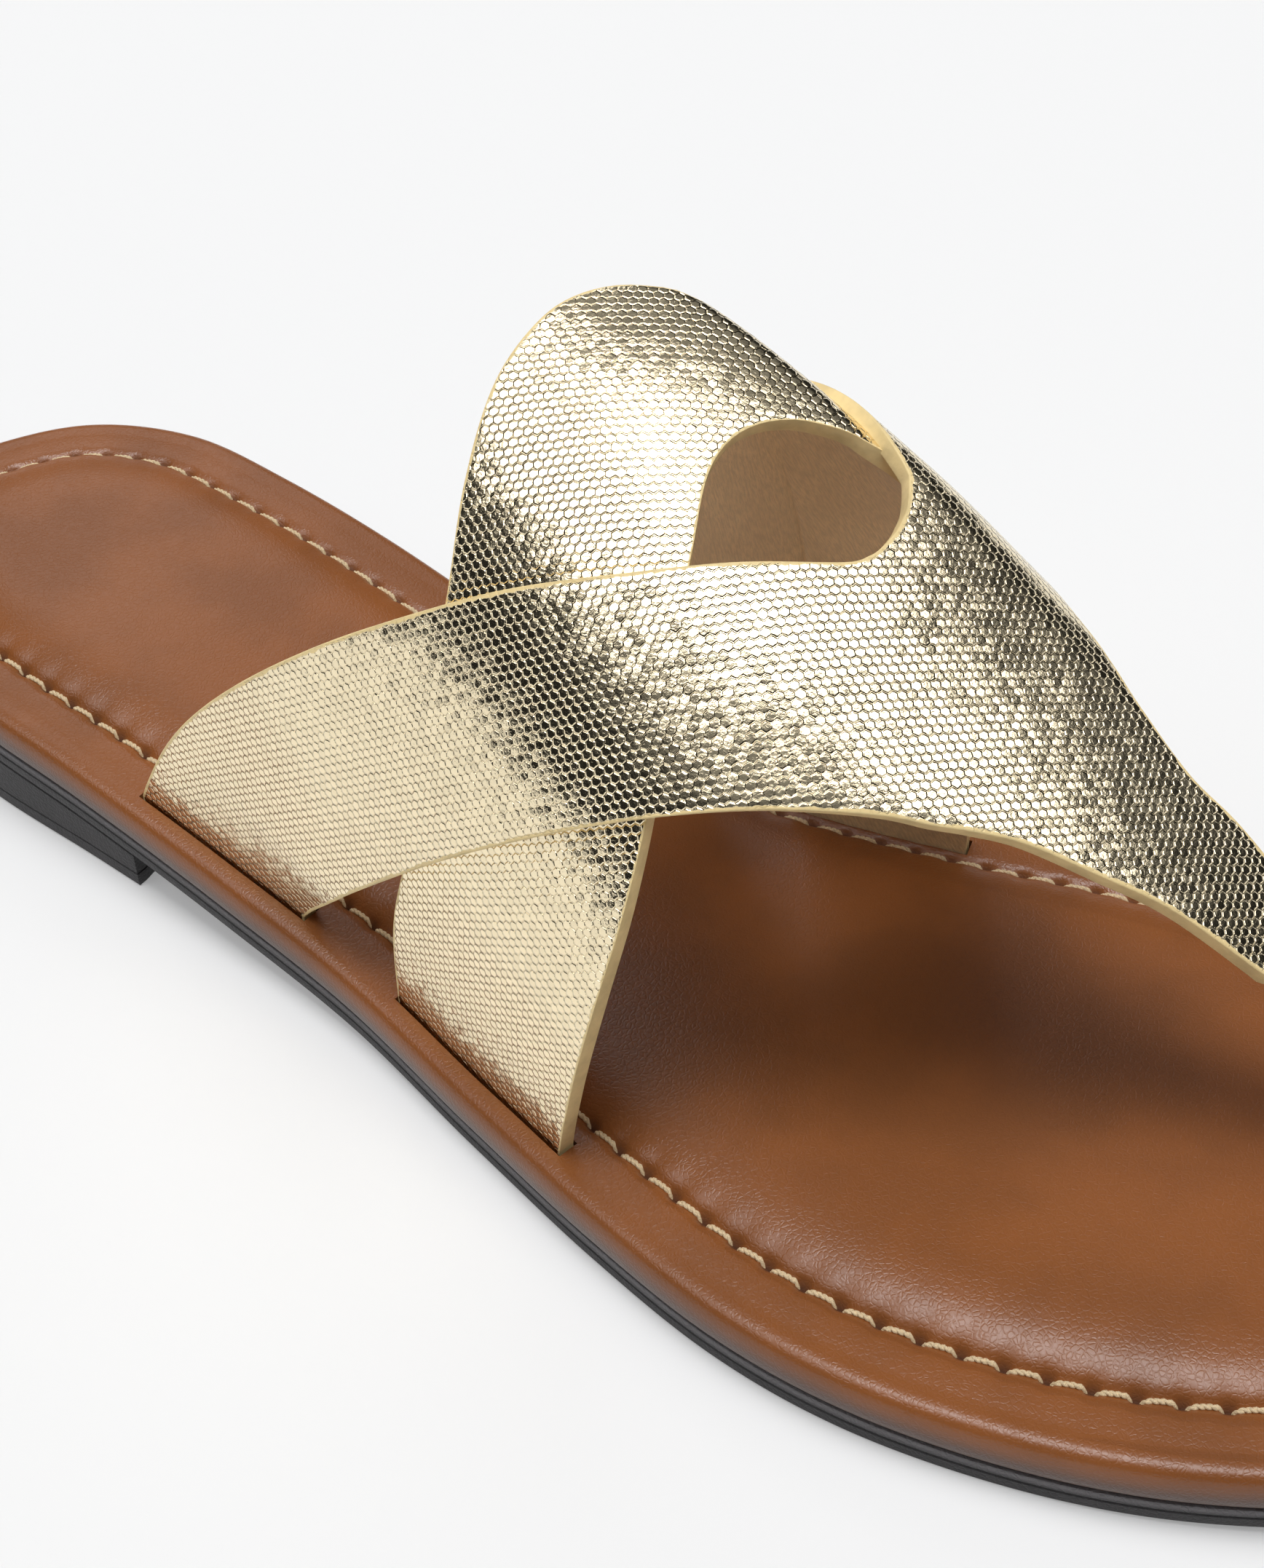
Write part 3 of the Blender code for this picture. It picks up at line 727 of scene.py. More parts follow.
def build_pebbles(n, given, leave):
    """Rows of flat-topped six-sided pebbles with narrow grooves, each tilted a little its own way."""
    placed = n.scale(given["Vector"], n.math("DIVIDE", 1.0, given["Pitch"]))
    drift = n.vector("SUBTRACT", n.noise(placed, 0.55, 2.0, colour=True), (0.5, 0.5, 0.5))
    fine = n.vector("SUBTRACT", n.noise(placed, 2.4, 1.0, colour=True), (0.5, 0.5, 0.5))
    drift = n.vector("ADD", drift, n.scale(fine, 0.45))
    at = n.vector("ADD", placed, n.scale(drift, given["Wander"]))
    at = n.vector("MULTIPLY", at, (1.0, 1.0, 0.0))
    half = (0.5, PEBBLE_ROW, 1.0)
    low = (-0.5, -PEBBLE_ROW, -1.0)
    a = n.vector("WRAP", at, half, low)
    b = n.vector("WRAP", n.vector("SUBTRACT", at, (0.5, PEBBLE_ROW, 0.0)), half, low)
    nearer = n.math("LESS_THAN", n.vector("DOT_PRODUCT", a, a), n.vector("DOT_PRODUCT", b, b))
    local = n.vector("ADD", n.scale(a, nearer), n.scale(b, n.math("SUBTRACT", 1.0, nearer)))
    centre = n.vector("SUBTRACT", at, local)
    spread = n.vector("ABSOLUTE", local)
    side = n.vector("DOT_PRODUCT", spread, (0.5, PEBBLE_ROW, 0.0))
    flat = n.vector("DOT_PRODUCT", spread, (1.0, 0.0, 0.0))
    rows = n.ramp(n.math("SUBTRACT", 0.5, side), 0.0, given["Groove"])
    ends = n.ramp(n.math("SUBTRACT", 0.5, flat), 0.0, given["Groove"], 0.45, 1.0)
    lifted = n.math("MULTIPLY", rows, ends)
    own = n.add("ShaderNodeTexWhiteNoise", noise_dimensions="2D")
    shifted = n.vector("ADD", centre, (0.25, PEBBLE_ROW / 2.0, 0.0))
    n.feed(own.inputs["Vector"], n.vector("SNAP", shifted, half))
    lean = n.vector("SUBTRACT", own.outputs["Color"], (0.5, 0.5, 0.5))
    lean = n.math("MULTIPLY", n.vector("DOT_PRODUCT", lean, local), given["Tilt"])
    crown = n.math("MULTIPLY", n.vector("DOT_PRODUCT", local, local), -0.40)
    top = n.math("ADD", n.math("ADD", lean, crown), 1.0)
    height = n.math("MULTIPLY", lifted, top)
    n.fill(leave, Height=height, Groove=n.math("SUBTRACT", 1.0, lifted), Cell=own.outputs["Value"])


def build_grain(n, given, leave):
    """Fine pebbly leather grain: small round cells with soft creases between them."""
    placed = n.scale(given["Vector"], n.math("DIVIDE", 1.0, given["Cell"]))
    bent = n.vector("ADD", placed, n.scale(n.noise(placed, 0.7, 2.0, colour=True), 0.9))
    cells = n.fill(n.add("ShaderNodeTexVoronoi", feature="DISTANCE_TO_EDGE"), Vector=bent, Scale=1.0)
    crease = n.ramp(cells.outputs["Distance"], 0.0, 0.22)
    swell = n.math("MULTIPLY", n.noise(placed, 0.32, 3.0), given["Softness"])
    n.fill(leave, Height=n.math("ADD", crease, swell), Mottle=n.noise(placed, 0.035, 4.0))


def build_nap(n, given, leave):
    """Short fibres of suede lying one way."""
    pulled = n.vector("MULTIPLY", given["Vector"], (1.0, NAP_STRETCH, 1.0))
    cloud = n.noise(given["Vector"], 140.0, 3.0, 0.6)
    n.fill(leave, Height=n.noise(pulled, 900.0, 4.0, 0.65), Cloud=cloud)


def build_wear(n, given, leave):
    """Uneven line between two finishes: one by the border, nought away from it, frayed in between."""
    rough = n.math("SUBTRACT", n.noise(given["Vector"], 1500.0, 3.0, 0.6), 0.5)
    slow = n.math("SUBTRACT", n.noise(given["Vector"], 380.0, 2.0, 0.5), 0.5)
    shift = n.math("MULTIPLY", n.math("ADD", rough, slow), given["Fray"])
    gap = n.math("SUBTRACT", n.math("ADD", given["Distance"], shift), given["Reach"])
    n.fill(leave, Mask=n.ramp(gap, -0.00006, 0.00006, 1.0, 0.0))


# Each effect's name, inputs, outputs and builder
PEBBLES = (
    "Embossed pebbles",
    {"Vector": None, "Pitch": 0.001, "Wander": 0.3, "Tilt": 0.5, "Groove": 0.16},
    ("Height", "Groove", "Cell"),
    build_pebbles,
)
GRAIN = (
    "Leather grain",
    {"Vector": None, "Cell": 0.0005, "Softness": 0.5},
    ("Height", "Mottle"),
    build_grain,
)
NAP = ("Suede nap", {"Vector": None}, ("Height", "Cloud"), build_nap)
WEAR = (
    "Edge wear",
    {"Vector": None, "Distance": 1.0, "Reach": 0.0003, "Fray": 0.0004},
    ("Mask",),
    build_wear,
)


def shade(colour, share):
    """The colour made darker or paler, opaque."""
    return tuple(part * share for part in tuple(colour)[:3]) + (1.0,)


def finish(thing, name, paint, s):
    """Give the object a material, which is painted the first time that its name is asked for."""
    material = bpy.data.materials.get(name)
    if material is None:
        material = bpy.data.materials.new(name)
        material.use_nodes = True
        shader = material.node_tree.nodes["Principled BSDF"]
        shader.location = (700, 0)
        material.node_tree.nodes["Material Output"].location = (1000, 0)
        paint(Nodes(material.node_tree), shader, s)
    thing.data.materials.append(material)


def paint_foil(n, shader, s):
    """Pale gold foil pressed with rows of pebbles, with painted shade in the grooves between them, and worn
    thin along the edge.
    """
    uv = n.sheet()
    pebbles = n.group(PEBBLES, Vector=uv, Pitch=s.pebble_pitch, Wander=0.26, Tilt=1.35, Groove=0.15)
    crinkle = n.math("MULTIPLY", n.noise(uv, 2600.0, 3.0, 0.55, distortion=0.6), 0.42)
    crumple = n.math("MULTIPLY", n.noise(uv, 900.0, 2.0, 0.5), 0.60)
    gap = n.attribute("rim_gap")
    worn = n.group(WEAR, Vector=n.spot(), Distance=gap, Reach=0.00022, Fray=0.0006)["Mask"]
    height = n.math("ADD", n.math("ADD", pebbles["Height"], crinkle), crumple)
    tone = n.mix(pebbles["Cell"], (0.93, 0.93, 0.93, 1.0), (1.0, 1.0, 1.0, 1.0))
    foil = n.mix(1.0, tuple(s.foil_colour), tone, "MULTIPLY")
    # Painted shade: the grooves between the pebbles are darkened towards a deep gold
    groove_shaded = n.mix(n.math("MULTIPLY", pebbles["Groove"], 0.30), foil, (0.62, 0.46, 0.22, 1.0))
    n.fill(
        shader,
        Base_Color=n.mix(worn, groove_shaded, tuple(s.edge_colour)),
        Metallic=n.math("SUBTRACT", 1.0, worn),
        Roughness=n.blend(worn, n.blend(n.noise(uv, 420.0, 2.0), 0.09, 0.16), 0.5),
        Normal=n.bump(height, 0.00008),
    )


def paint_edge(n, shader, s):
    """Edge paint in a soft, slightly uneven coat."""
    spot = n.spot()
    slow = n.noise(spot, 260.0, 3.0, 0.6)
    fine = n.math("MULTIPLY", n.noise(spot, 2400.0, 2.0, 0.5), 0.15)
    n.fill(
        shader,
        Base_Color=n.mix(n.ramp(slow, 0.35, 0.7), tuple(s.edge_colour), shade(s.edge_colour, 0.80)),
        Roughness=n.blend(slow, 0.42, 0.58),
        Normal=n.bump(n.math("ADD", n.math("MULTIPLY", slow, 0.7), fine), 0.00022),
    )


def paint_suede(n, shader, s):
    """Beige brown suede."""
    nap = n.group(NAP, Vector=n.sheet())
    dark = shade(s.lining_colour, 0.78)
    tone = n.mix(n.ramp(nap["Height"], 0.35, 0.65), dark, tuple(s.lining_colour))
    cloud = n.math("MULTIPLY", n.ramp(nap["Cloud"], 0.4, 0.6), 0.25)
    n.fill(
        shader,
        Base_Color=n.mix(cloud, tone, dark),
        Roughness=n.blend(nap["Height"], 0.80, 0.95),
        Sheen_Weight=0.35,
        Sheen_Roughness=0.5,
        Normal=n.bump(nap["Height"], 0.00012),
    )


def paint_leather(n, shader, s):
    """Tan leather with a fine grain, with painted shade down its wall and in the stitch holes where the
    thread goes through.
    """
    grain = n.group(GRAIN, Vector=n.spot(), Cell=0.00062, Softness=0.5)
    pits = n.attribute("pit")
    mottle = n.ramp(grain["Mottle"], 0.35, 0.65)
    tone = n.mix(mottle, tuple(s.leather_colour), shade(s.leather_colour, 0.80))
    # Painted shade down the wall, darker towards its bottom
    tone = n.mix(n.ramp(n.attribute("wall"), 0.0, 0.6), tone, shade(s.leather_colour, 0.30))
    rough = n.blend(grain["Mottle"], 0.29, 0.37)
    n.fill(
        shader,
        # Painted shade in the stitch holes: near-black mixed in where the pit mask is high
        Base_Color=n.mix(n.math("MULTIPLY", pits, 0.85), tone, (0.045, 0.017, 0.008, 1.0)),
        Roughness=n.math("ADD", rough, n.math("MULTIPLY", pits, 0.3)),
        Specular_IOR_Level=0.50,
        Normal=n.bump(grain["Height"], 0.000016),
    )


def paint_thread(n, shader, s):
    """Waxed cotton thread with fine fibres."""
    spot = n.spot()
    fibre = n.noise(spot, 5200.0, 2.0, 0.6)
    dark = shade(s.thread_colour, 0.62)
    tone = n.mix(n.ramp(fibre, 0.3, 0.7), dark, tuple(s.thread_colour))
    n.fill(
        shader,
        Base_Color=n.mix(n.math("MULTIPLY", n.noise(spot, 90.0, 2.0, 0.5), 0.3), tone, dark),
        Roughness=n.blend(fibre, 0.50, 0.70),
        Normal=n.bump(fibre, 0.00006),
    )


def paint_rubber(n, shader, s, highlit_top=False):
    """Dark sole rubber; where asked for, a pale band along its top edge is painted in as a highlight."""
    spot = n.spot()
    grain = n.math("MULTIPLY", n.group(GRAIN, Vector=spot, Cell=0.0007, Softness=1.2)["Height"], 0.5)
    streaks = n.noise(spot, 320.0, 3.0, 0.6)
    tone = n.mix(n.ramp(streaks, 0.45, 0.75), tuple(s.rubber_colour), shade(s.rubber_colour, 1.9))
    if highlit_top:
        # Painted highlight: pale band along the top edge, where the rubber catches the light
        tone = n.mix(n.attribute("top_highlight"), tone, tuple(s.top_highlight_colour))
    n.fill(
        shader,
        Base_Color=tone,
        Roughness=n.blend(streaks, 0.48, 0.68),
        Normal=n.bump(n.math("ADD", grain, streaks), 0.00008),
    )


def paint_outsole(n, shader, s):
    """The sole rubber with a painted highlight along its top edge."""
    paint_rubber(n, shader, s, highlit_top=True)


def paint_floor(n, shader, s):
    """Matt pale floor that gives a little light of its own."""
    n.fill(
        shader,
        Base_Color=tuple(s.floor_colour),
        Roughness=0.9,
        Specular_IOR_Level=0.1,
        Emission_Color=(0.93, 0.93, 0.93, 1.0),
        Emission_Strength=s.floor_glow,
    )


# Straps

def lay_grain(thing, at, direction):
    """Unwrap the sheet, size its map in metres and turn it so that the rows run along a direction."""
    with editing(thing, everything=True):
        bpy.ops.uv.unwrap(method="ANGLE_BASED", margin=0.0)
    mesh = thing.data
    layer = mesh.uv_layers.active
    layer.name = "Grain"
    flat = np.zeros(len(mesh.loops) * 2)
    layer.uv.foreach_get("vector", flat)
    flat = flat.reshape(-1, 2)
    solid = positions(thing)
    corners = np.zeros(len(mesh.loops), int)
    mesh.loops.foreach_get("vertex_index", corners)
    best = min(mesh.polygons, key=lambda face: (face.center - Vector(at)).length)
    loops = list(best.loop_indices)[:3]
    p = solid[corners[loops]]
    q = flat[loops]
    edges = np.stack([p[1] - p[0], p[2] - p[0]], axis=1)
    shares = np.linalg.lstsq(edges, np.asarray(direction, float), rcond=None)[0]
    along = shares @ np.stack([q[1] - q[0], q[2] - q[0]])
    turn = math.atan2(along[1], along[0])
    area_solid = sum(face.area for face in mesh.polygons)
    area_flat = 0.0
    for face in mesh.polygons:
        ring = flat[list(face.loop_indices)]
        nxt = np.roll(ring, -1, axis=0)
        area_flat += abs((ring[:, 0] * nxt[:, 1] - ring[:, 1] * nxt[:, 0]).sum()) / 2.0
    size = math.sqrt(area_solid / area_flat)
    c, s = math.cos(-turn), math.sin(-turn)
    turned = flat @ np.array([[c, s], [-s, c]]) * size + 1.0
    layer.uv.foreach_set("vector", turned.ravel())


def finish_strap(thing, s, thickness=None):
    """Give the sheet its thickness, painted edge and lining."""
    solid = thing.modifiers.new("Thickness", "SOLIDIFY")
    solid.thickness = s.thickness
    solid.offset = 0.0
    solid.use_quality_normals = True
    solid.use_rim = True
    solid.material_offset = 2
    solid.material_offset_rim = 1
    if thickness is not None:
        group = thing.vertex_groups.new(name="full")
        for index, share in enumerate(thickness):
            group.add([index], float(share), "REPLACE")
        solid.thickness = s.thickness * 2.0
        solid.vertex_group = "full"
    bevel = thing.modifiers.new("Round edge", "BEVEL")
    bevel.width = s.edge_round
    bevel.segments = 3
    bevel.limit_method = "ANGLE"
    bevel.angle_limit = math.radians(55.0)
    bevel.material = 1
    bevel.use_clamp_overlap = True
    apply_all(thing)
    mesh = thing.data
    kinds = np.zeros(len(mesh.polygons), int)
    mesh.polygons.foreach_get("material_index", kinds)
    rim = set()
    for face in mesh.polygons:
        if kinds[face.index] == 1:
            rim.update(face.vertices)
    points = positions(thing)
    gap = distance_to(points, points[sorted(rim)])
    point_mask(thing, "rim_gap", gap)
    take(thing)
    bpy.ops.object.shade_smooth()


def strap_materials(thing, s):
    """Foil outside, paint round the edge, suede inside."""
    finish(thing, "Foil leather", paint_foil, s)
    finish(thing, "Edge paint", paint_edge, s)
    finish(thing, "Suede lining", paint_suede, s)


def lap_lift(x, angle, thickness):
    """How far the forked strap lies above the band's own surface."""
    share = x / LENGTH + 0.5
    climb = ease((share - LAP_START) / LAP_CLIMB)
    descent = LAP_DROP * ease((share - LAP_END) / LAP_DESCENT)
    foot = np.minimum(angle, 180.0 - angle)
    return (thickness - LAP_BITE) * (climb * (1.0 - descent)) * ease(foot / LAP_FOOT)


def slot_rows(x, inner):
    """Rows of points of a strap's foot in its slot, from the bottom up."""
    depths = [POCKET_DEPTH - FIT_GAP] + [POCKET_DEPTH * share for share in FOOT_SHARES]
    return [np.stack([x, foot_y(x, inner), border_top(x) - depth], axis=1) for depth in depths]


def band_x(angle):
    """X of the points across the band at an angle round the arch."""
    rear = station_x(column(BAND, angle, 1))
    front = station_x(column(BAND, angle, 2))
    return rear + (front - rear) * np.linspace(0.0, 1.0, BAND_ACROSS)


def band_points():
    """Rows of points of the band from the bottom of one slot to the bottom of the other."""
    rows = slot_rows(band_x(0.0), False)
    for angle in np.linspace(0.0, 180.0, BAND_ROUND):
        rows.append(arch(band_x(angle), np.full(BAND_ACROSS, angle)))
    return np.array(rows + slot_rows(band_x(180.0), True)[::-1])


def face_up(thing, at):
    """Turn a sheet's faces outwards, away from the foot."""
    nearest = min(thing.data.polygons, key=lambda face: (face.center - Vector(at)).length)
    if nearest.normal.z < 0.0:
        with editing(thing, everything=True):
            bpy.ops.mesh.flip_normals()


class SANDAL_OT_band(bpy.types.Operator):
    """Model the wide band that goes over the instep"""

    bl_idname = "sandal.band"
    bl_label = "Instep band"

    def execute(self, context):
        s = context.scene.sandal_straps
        points = band_points()
        thing = new_grid("instep_band", BAND_ACROSS, len(points))
        place(thing, points.reshape(-1, 3))
        lay_grain(thing, arch(station_x(0.52), 45.0), BAND_GRAIN)
        face_up(thing, arch(station_x(0.52), 90.0))
        strap_materials(thing, s)
        finish_strap(thing, s)
        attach(thing, "root")
        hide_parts("upper")
        return {"FINISHED"}


def arm_forward(near_angle, inner):
    """How much further forward the inner arm stands than the outer one, most at its slot."""
    return INNER_ARM_FORWARD * (1.0 - float(ease(near_angle / 65.0))) if inner else 0.0


def fork_half(inner, thickness):
    """Rows of points of one arm and its half of the tongue, from the slot to the toe post."""
    share = np.linspace(0.0, 1.0, FORK_ACROSS)
    arm = drawn_out(ARM, ARM_ROWS)
    tongue = drawn_out(TONGUE, TONGUE_ROWS)[1:]
    x = station_x(arm[0][1] + (arm[0][3] - arm[0][1]) * share) + arm_forward(0.0, inner)
    rows = slot_rows(x, inner)
    for index, (near_angle, near, far_angle, far) in enumerate(np.vstack([arm, tongue])):
        centre = near_angle if index >= len(arm) else ARM[-1][0]
        angle = near_angle + (far_angle - near_angle) * share
        x = station_x(near + (far - near) * share) + arm_forward(near_angle, inner)
        if inner:
            angle = centre + (centre - angle) * (180.0 - centre) / centre
        rows.append(arch(x, angle, lap_lift(x, angle, thickness)))
    bend = rows[-1][0]
    width = np.linalg.norm(rows[-1][-1] - bend)
    post_x = float(station_x(POST_STATION))
    post_y = POST_SIDE * BALL_WIDTH
    height = bend[2] - border_top(bend[0])
    for forward, rise, widen in drawn_out(POST, POST_ROWS)[1:]:
        forward = min(forward, 1.0)
        half_width = POST_HALF_WIDTH + (width - POST_HALF_WIDTH) * max(widen, 0.0)
        x = bend[0] + (post_x - bend[0]) * forward
        y = bend[1] + (post_y - bend[1]) * forward + half_width * share * (1.0 if inner else -1.0)
        z = border_top(x) + height * rise
        rows.append(np.stack([np.full(FORK_ACROSS, x), y, np.full(FORK_ACROSS, z)], axis=1))
    bottom = rows[-1].copy()
    bottom[:, 2] = border_top(post_x) - POCKET_DEPTH + FIT_GAP
    return np.array(rows + [bottom])


class SANDAL_OT_fork(bpy.types.Operator):
    """Model the forked strap that crosses the band and runs to the toe post"""

    bl_idname = "sandal.fork"
    bl_label = "Forked strap"

    def execute(self, context):
        s = context.scene.sandal_straps
        halves = []
        for inner in (False, True):
            points = fork_half(inner, s.thickness)
            if not inner:
                points = points[:, ::-1]
            half = new_grid("forked_half" if inner else "forked_strap", FORK_ACROSS, len(points))
            place(half, points.reshape(-1, 3))
            halves.append(half)
        thing = joined(halves)
        with editing(thing, everything=True):
            bpy.ops.mesh.remove_doubles(threshold=0.000004)
            bpy.ops.mesh.normals_make_consistent(inside=False)
        face_up(thing, arch(station_x(0.68), 82.0))
        lay_grain(thing, arch(station_x(0.47), 35.0), FORK_GRAIN)
        points = positions(thing)
        post_x = float(station_x(POST_STATION))
        bend_x = float(station_x(TONGUE[-1][1]))
        share = ease((points[:, 0] - bend_x - 0.002) / (post_x - bend_x - 0.002))
        full = (s.thickness + (POST_THICK - s.thickness) * share) / (2.0 * s.thickness)
        strap_materials(thing, s)
        finish_strap(thing, s, full)
        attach(thing, "root")
        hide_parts("upper")
        return {"FINISHED"}


# Footbed

def ring_of(points, heights):
    """Plan ring and its heights as one array of places."""
    return np.column_stack([points, heights])


def lift_ring(thing, ring):
    """Extrude the open rim once and put the new rim on the given ring."""
    bpy.ops.mesh.extrude_edges_move()
    bpy.ops.object.mode_set(mode="OBJECT")
    points = positions(thing)
    points[-len(ring):] = ring
    place(thing, points)
    bpy.ops.object.mode_set(mode="EDIT")


def stack_rings(name, rings):
    """Shell through rings of equal counts, the first one a circle laid to the shape."""
    pick_none()
    bpy.ops.mesh.primitive_circle_add(vertices=len(rings[0]), radius=1.0)
    thing = bpy.context.object
    thing.name = name
    thing.data.name = name
    place(thing, rings[0])
    with editing(thing, everything=True):
        for ring in rings[1:]:
            lift_ring(thing, ring)
    return thing


def pad_height(x, depth, s):
    """Height of the footbed's top at a distance in from the edge."""
    share = np.clip((depth - s.border) / s.pad_ease, 0.0, 1.0)
    rise = s.pad_rise * (1.0 - (1.0 - share) ** 3.0)
    channel = -CHANNEL_DEPTH * np.exp(-((depth - s.border + CHANNEL_SHIFT) / CHANNEL_WIDTH) ** 2)
    roll = -RIM_ROLL * ease((s.border - RIM_ROLL_START - depth) / RIM_ROLL_WIDTH)
    return border_top(x) + rise + channel + roll


def stitch_frames(s):
    """Middle, direction and inward direction of each stitch."""
    steps = 8
    line = spaced(inset(spaced(EDGE, 2400), s.border), s.stitch_count * steps)
    frames = []
    for k in range(0, len(line), steps):
        along = line[(k + 1) % len(line)] - line[k - 1]
        along /= np.linalg.norm(along)
        frames.append((line[k], along, np.array([-along[1], along[0]])))
    length = np.linalg.norm(np.diff(np.vstack([line, line[:1]]), axis=0), axis=1).sum()
    return frames, length / s.stitch_count


class SANDAL_OT_footbed(bpy.types.Operator):
    """Model the padded footbed with its rolled rim, stitch channel and strap slots"""

    bl_idname = "sandal.footbed"
    bl_label = "Padded footbed"

    def execute(self, context):
        s = context.scene.sandal_footbed
        edge = spaced(EDGE, s.stitch_count * POINTS_PER_STITCH)
        rings = self.shell_rings(edge, s)
        coarse = calm(inset(edge, MIDDLE_INSET), 14)[::3]
        gathered = coarse[((np.arange(len(edge)) + 1) // 3) % len(coarse)]
        rings.append(ring_of(gathered, pad_height(gathered[:, 0], MIDDLE_INSET, s)))
        thing = stack_rings("footbed_pad", rings)
        before = len(thing.data.vertices) - len(edge)
        choose(thing, list(range(before, before + len(edge))))
        with editing(thing):
            bpy.ops.mesh.remove_doubles(threshold=0.0000005)
        if len(thing.data.vertices) != before + len(coarse):
            raise RuntimeError("the rim of the padded middle was not gathered by threes")
        self.close_middle(thing, positions(thing)[before:, :2], s)
        close_rim(thing, list(range(len(edge))))
        self.dimple(thing, s)
        face_outwards(thing)
        self.cut_slots(thing, context.scene.sandal_straps)
        smooth(thing, 50.0)
        thing.data.materials.clear()
        finish(thing, "Footbed leather", paint_leather, s)
        thing.data.polygons.foreach_set("material_index", [0] * len(thing.data.polygons))
        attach(thing, "root")
        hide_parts("footbed")
        return {"FINISHED"}

    def shell_rings(self, edge, s):
        """Rings from the underside round the rolled rim and over the border to the pad's shoulder."""
        half = FOOTBED_THICK / 2.0
        plan = calm(inset(edge, UNDERSIDE_INSET), 7)
        rings = [ring_of(plan, footbed_under(plan[:, 0]))]
        for step in range(RIM_STEPS + 1):
            turn = math.pi * (1.0 - step / RIM_STEPS)
            reach = abs(math.sin(turn)) ** RIM_SQUARENESS
            rise = math.copysign(abs(math.cos(turn)) ** RIM_SQUARENESS, math.cos(turn))
            plan = inset(edge, half * RIM_WIDTH_SHARE * (1.0 - reach))
            rings.append(ring_of(plan, footbed_under(plan[:, 0]) + half + half * rise))
        for depth in TOP_INSETS:
            plan = calm(inset(edge, depth), int(max(depth - 0.0100, 0.0) * 3000.0))
            rings.append(ring_of(plan, pad_height(plan[:, 0], depth, s)))
        return rings

    def close_middle(self, thing, rim, s):
        """Carry the pad inwards from its rim to a narrow gap along the middle of the foot, and fill that."""
        low = rim[:, 0].min() + SPINE_HEEL_GAP
        high = rim[:, 0].max() - SPINE_TOE_GAP
        toward = np.clip(rim[:, 0], low, high)
        marks = np.linspace(low, high, SPINE_MARKS)
        sides = [rim[np.abs(rim[:, 0] - x) < SPINE_WINDOW][:, 1] for x in marks]
        middle = [(side.max() + side.min()) / 2.0 for side in sides]
        spine = np.stack([toward, np.interp(toward, marks, middle)], axis=1)
        first = len(thing.data.vertices) - len(rim)
        choose(thing, list(range(first, first + len(rim))))
        with editing(thing):
            for share in np.linspace(0.0, MIDDLE_REACH, MIDDLE_RINGS + 1)[1:]:
                plan = rim + (spine - rim) * share
                depth = np.maximum(edge_depth(plan), MIDDLE_INSET)
                hollow = np.exp(-((plan[:, 0] - HEEL_HOLLOW_X) / HEEL_HOLLOW_REACH) ** 2)
                hollow *= HEEL_HOLLOW * ease((depth - HEEL_HOLLOW_START) / HEEL_HOLLOW_EASE)
                lift_ring(thing, ring_of(plan, pad_height(plan[:, 0], depth, s) - hollow))
            bpy.ops.mesh.edge_face_add()
            bpy.ops.mesh.quads_convert_to_tris(quad_method="BEAUTY", ngon_method="BEAUTY")

    def dimple(self, thing, s):
        """Sink the leather where the thread goes through; mark the holes and the wall for the painted shade
        in the material.
        """
        frames, pitch = stitch_frames(s)
        holes = KDTree(len(frames))
        for i, (middle, along, inward) in enumerate(frames):
            spot = middle + along * pitch / 2.0
            holes.insert((spot[0], spot[1], 0.0), i)
        holes.balance()
        points = positions(thing)
        top = points[:, 2] > footbed_under(points[:, 0]) + FOOTBED_THICK * TOP_SHARE
        pit = np.zeros(len(points))
        for i in np.nonzero(top)[0]:
            _, hole, gap = holes.find((points[i, 0], points[i, 1], 0.0))
            if gap < HOLE_REACH:
                middle, along, inward = frames[hole]
                away = points[i, :2] - middle - along * pitch / 2.0
                run = away @ along
                over = away @ inward
                pit[i] = math.exp(-((run / HOLE_LENGTH) ** 4) - (over / HOLE_WIDTH) ** 2)
                off = over - PUCKER_INWARD
                pucker = math.exp(-((run / PUCKER_LENGTH) ** 2) - (off / PUCKER_WIDTH) ** 2)
                points[i, 2] -= HOLE_DEPTH * pit[i] + PUCKER_DEPTH * pucker
        place(thing, points)
        # The pit mask also gives the holes painted shade in the material
        point_mask(thing, "pit", pit)
        # Mask for the painted shade down the wall, darker towards its bottom
        down = (border_top(points[:, 0]) - points[:, 2]) / FOOTBED_THICK
        point_mask(thing, "wall", ease(down - WALL_SHADE_SHARE))

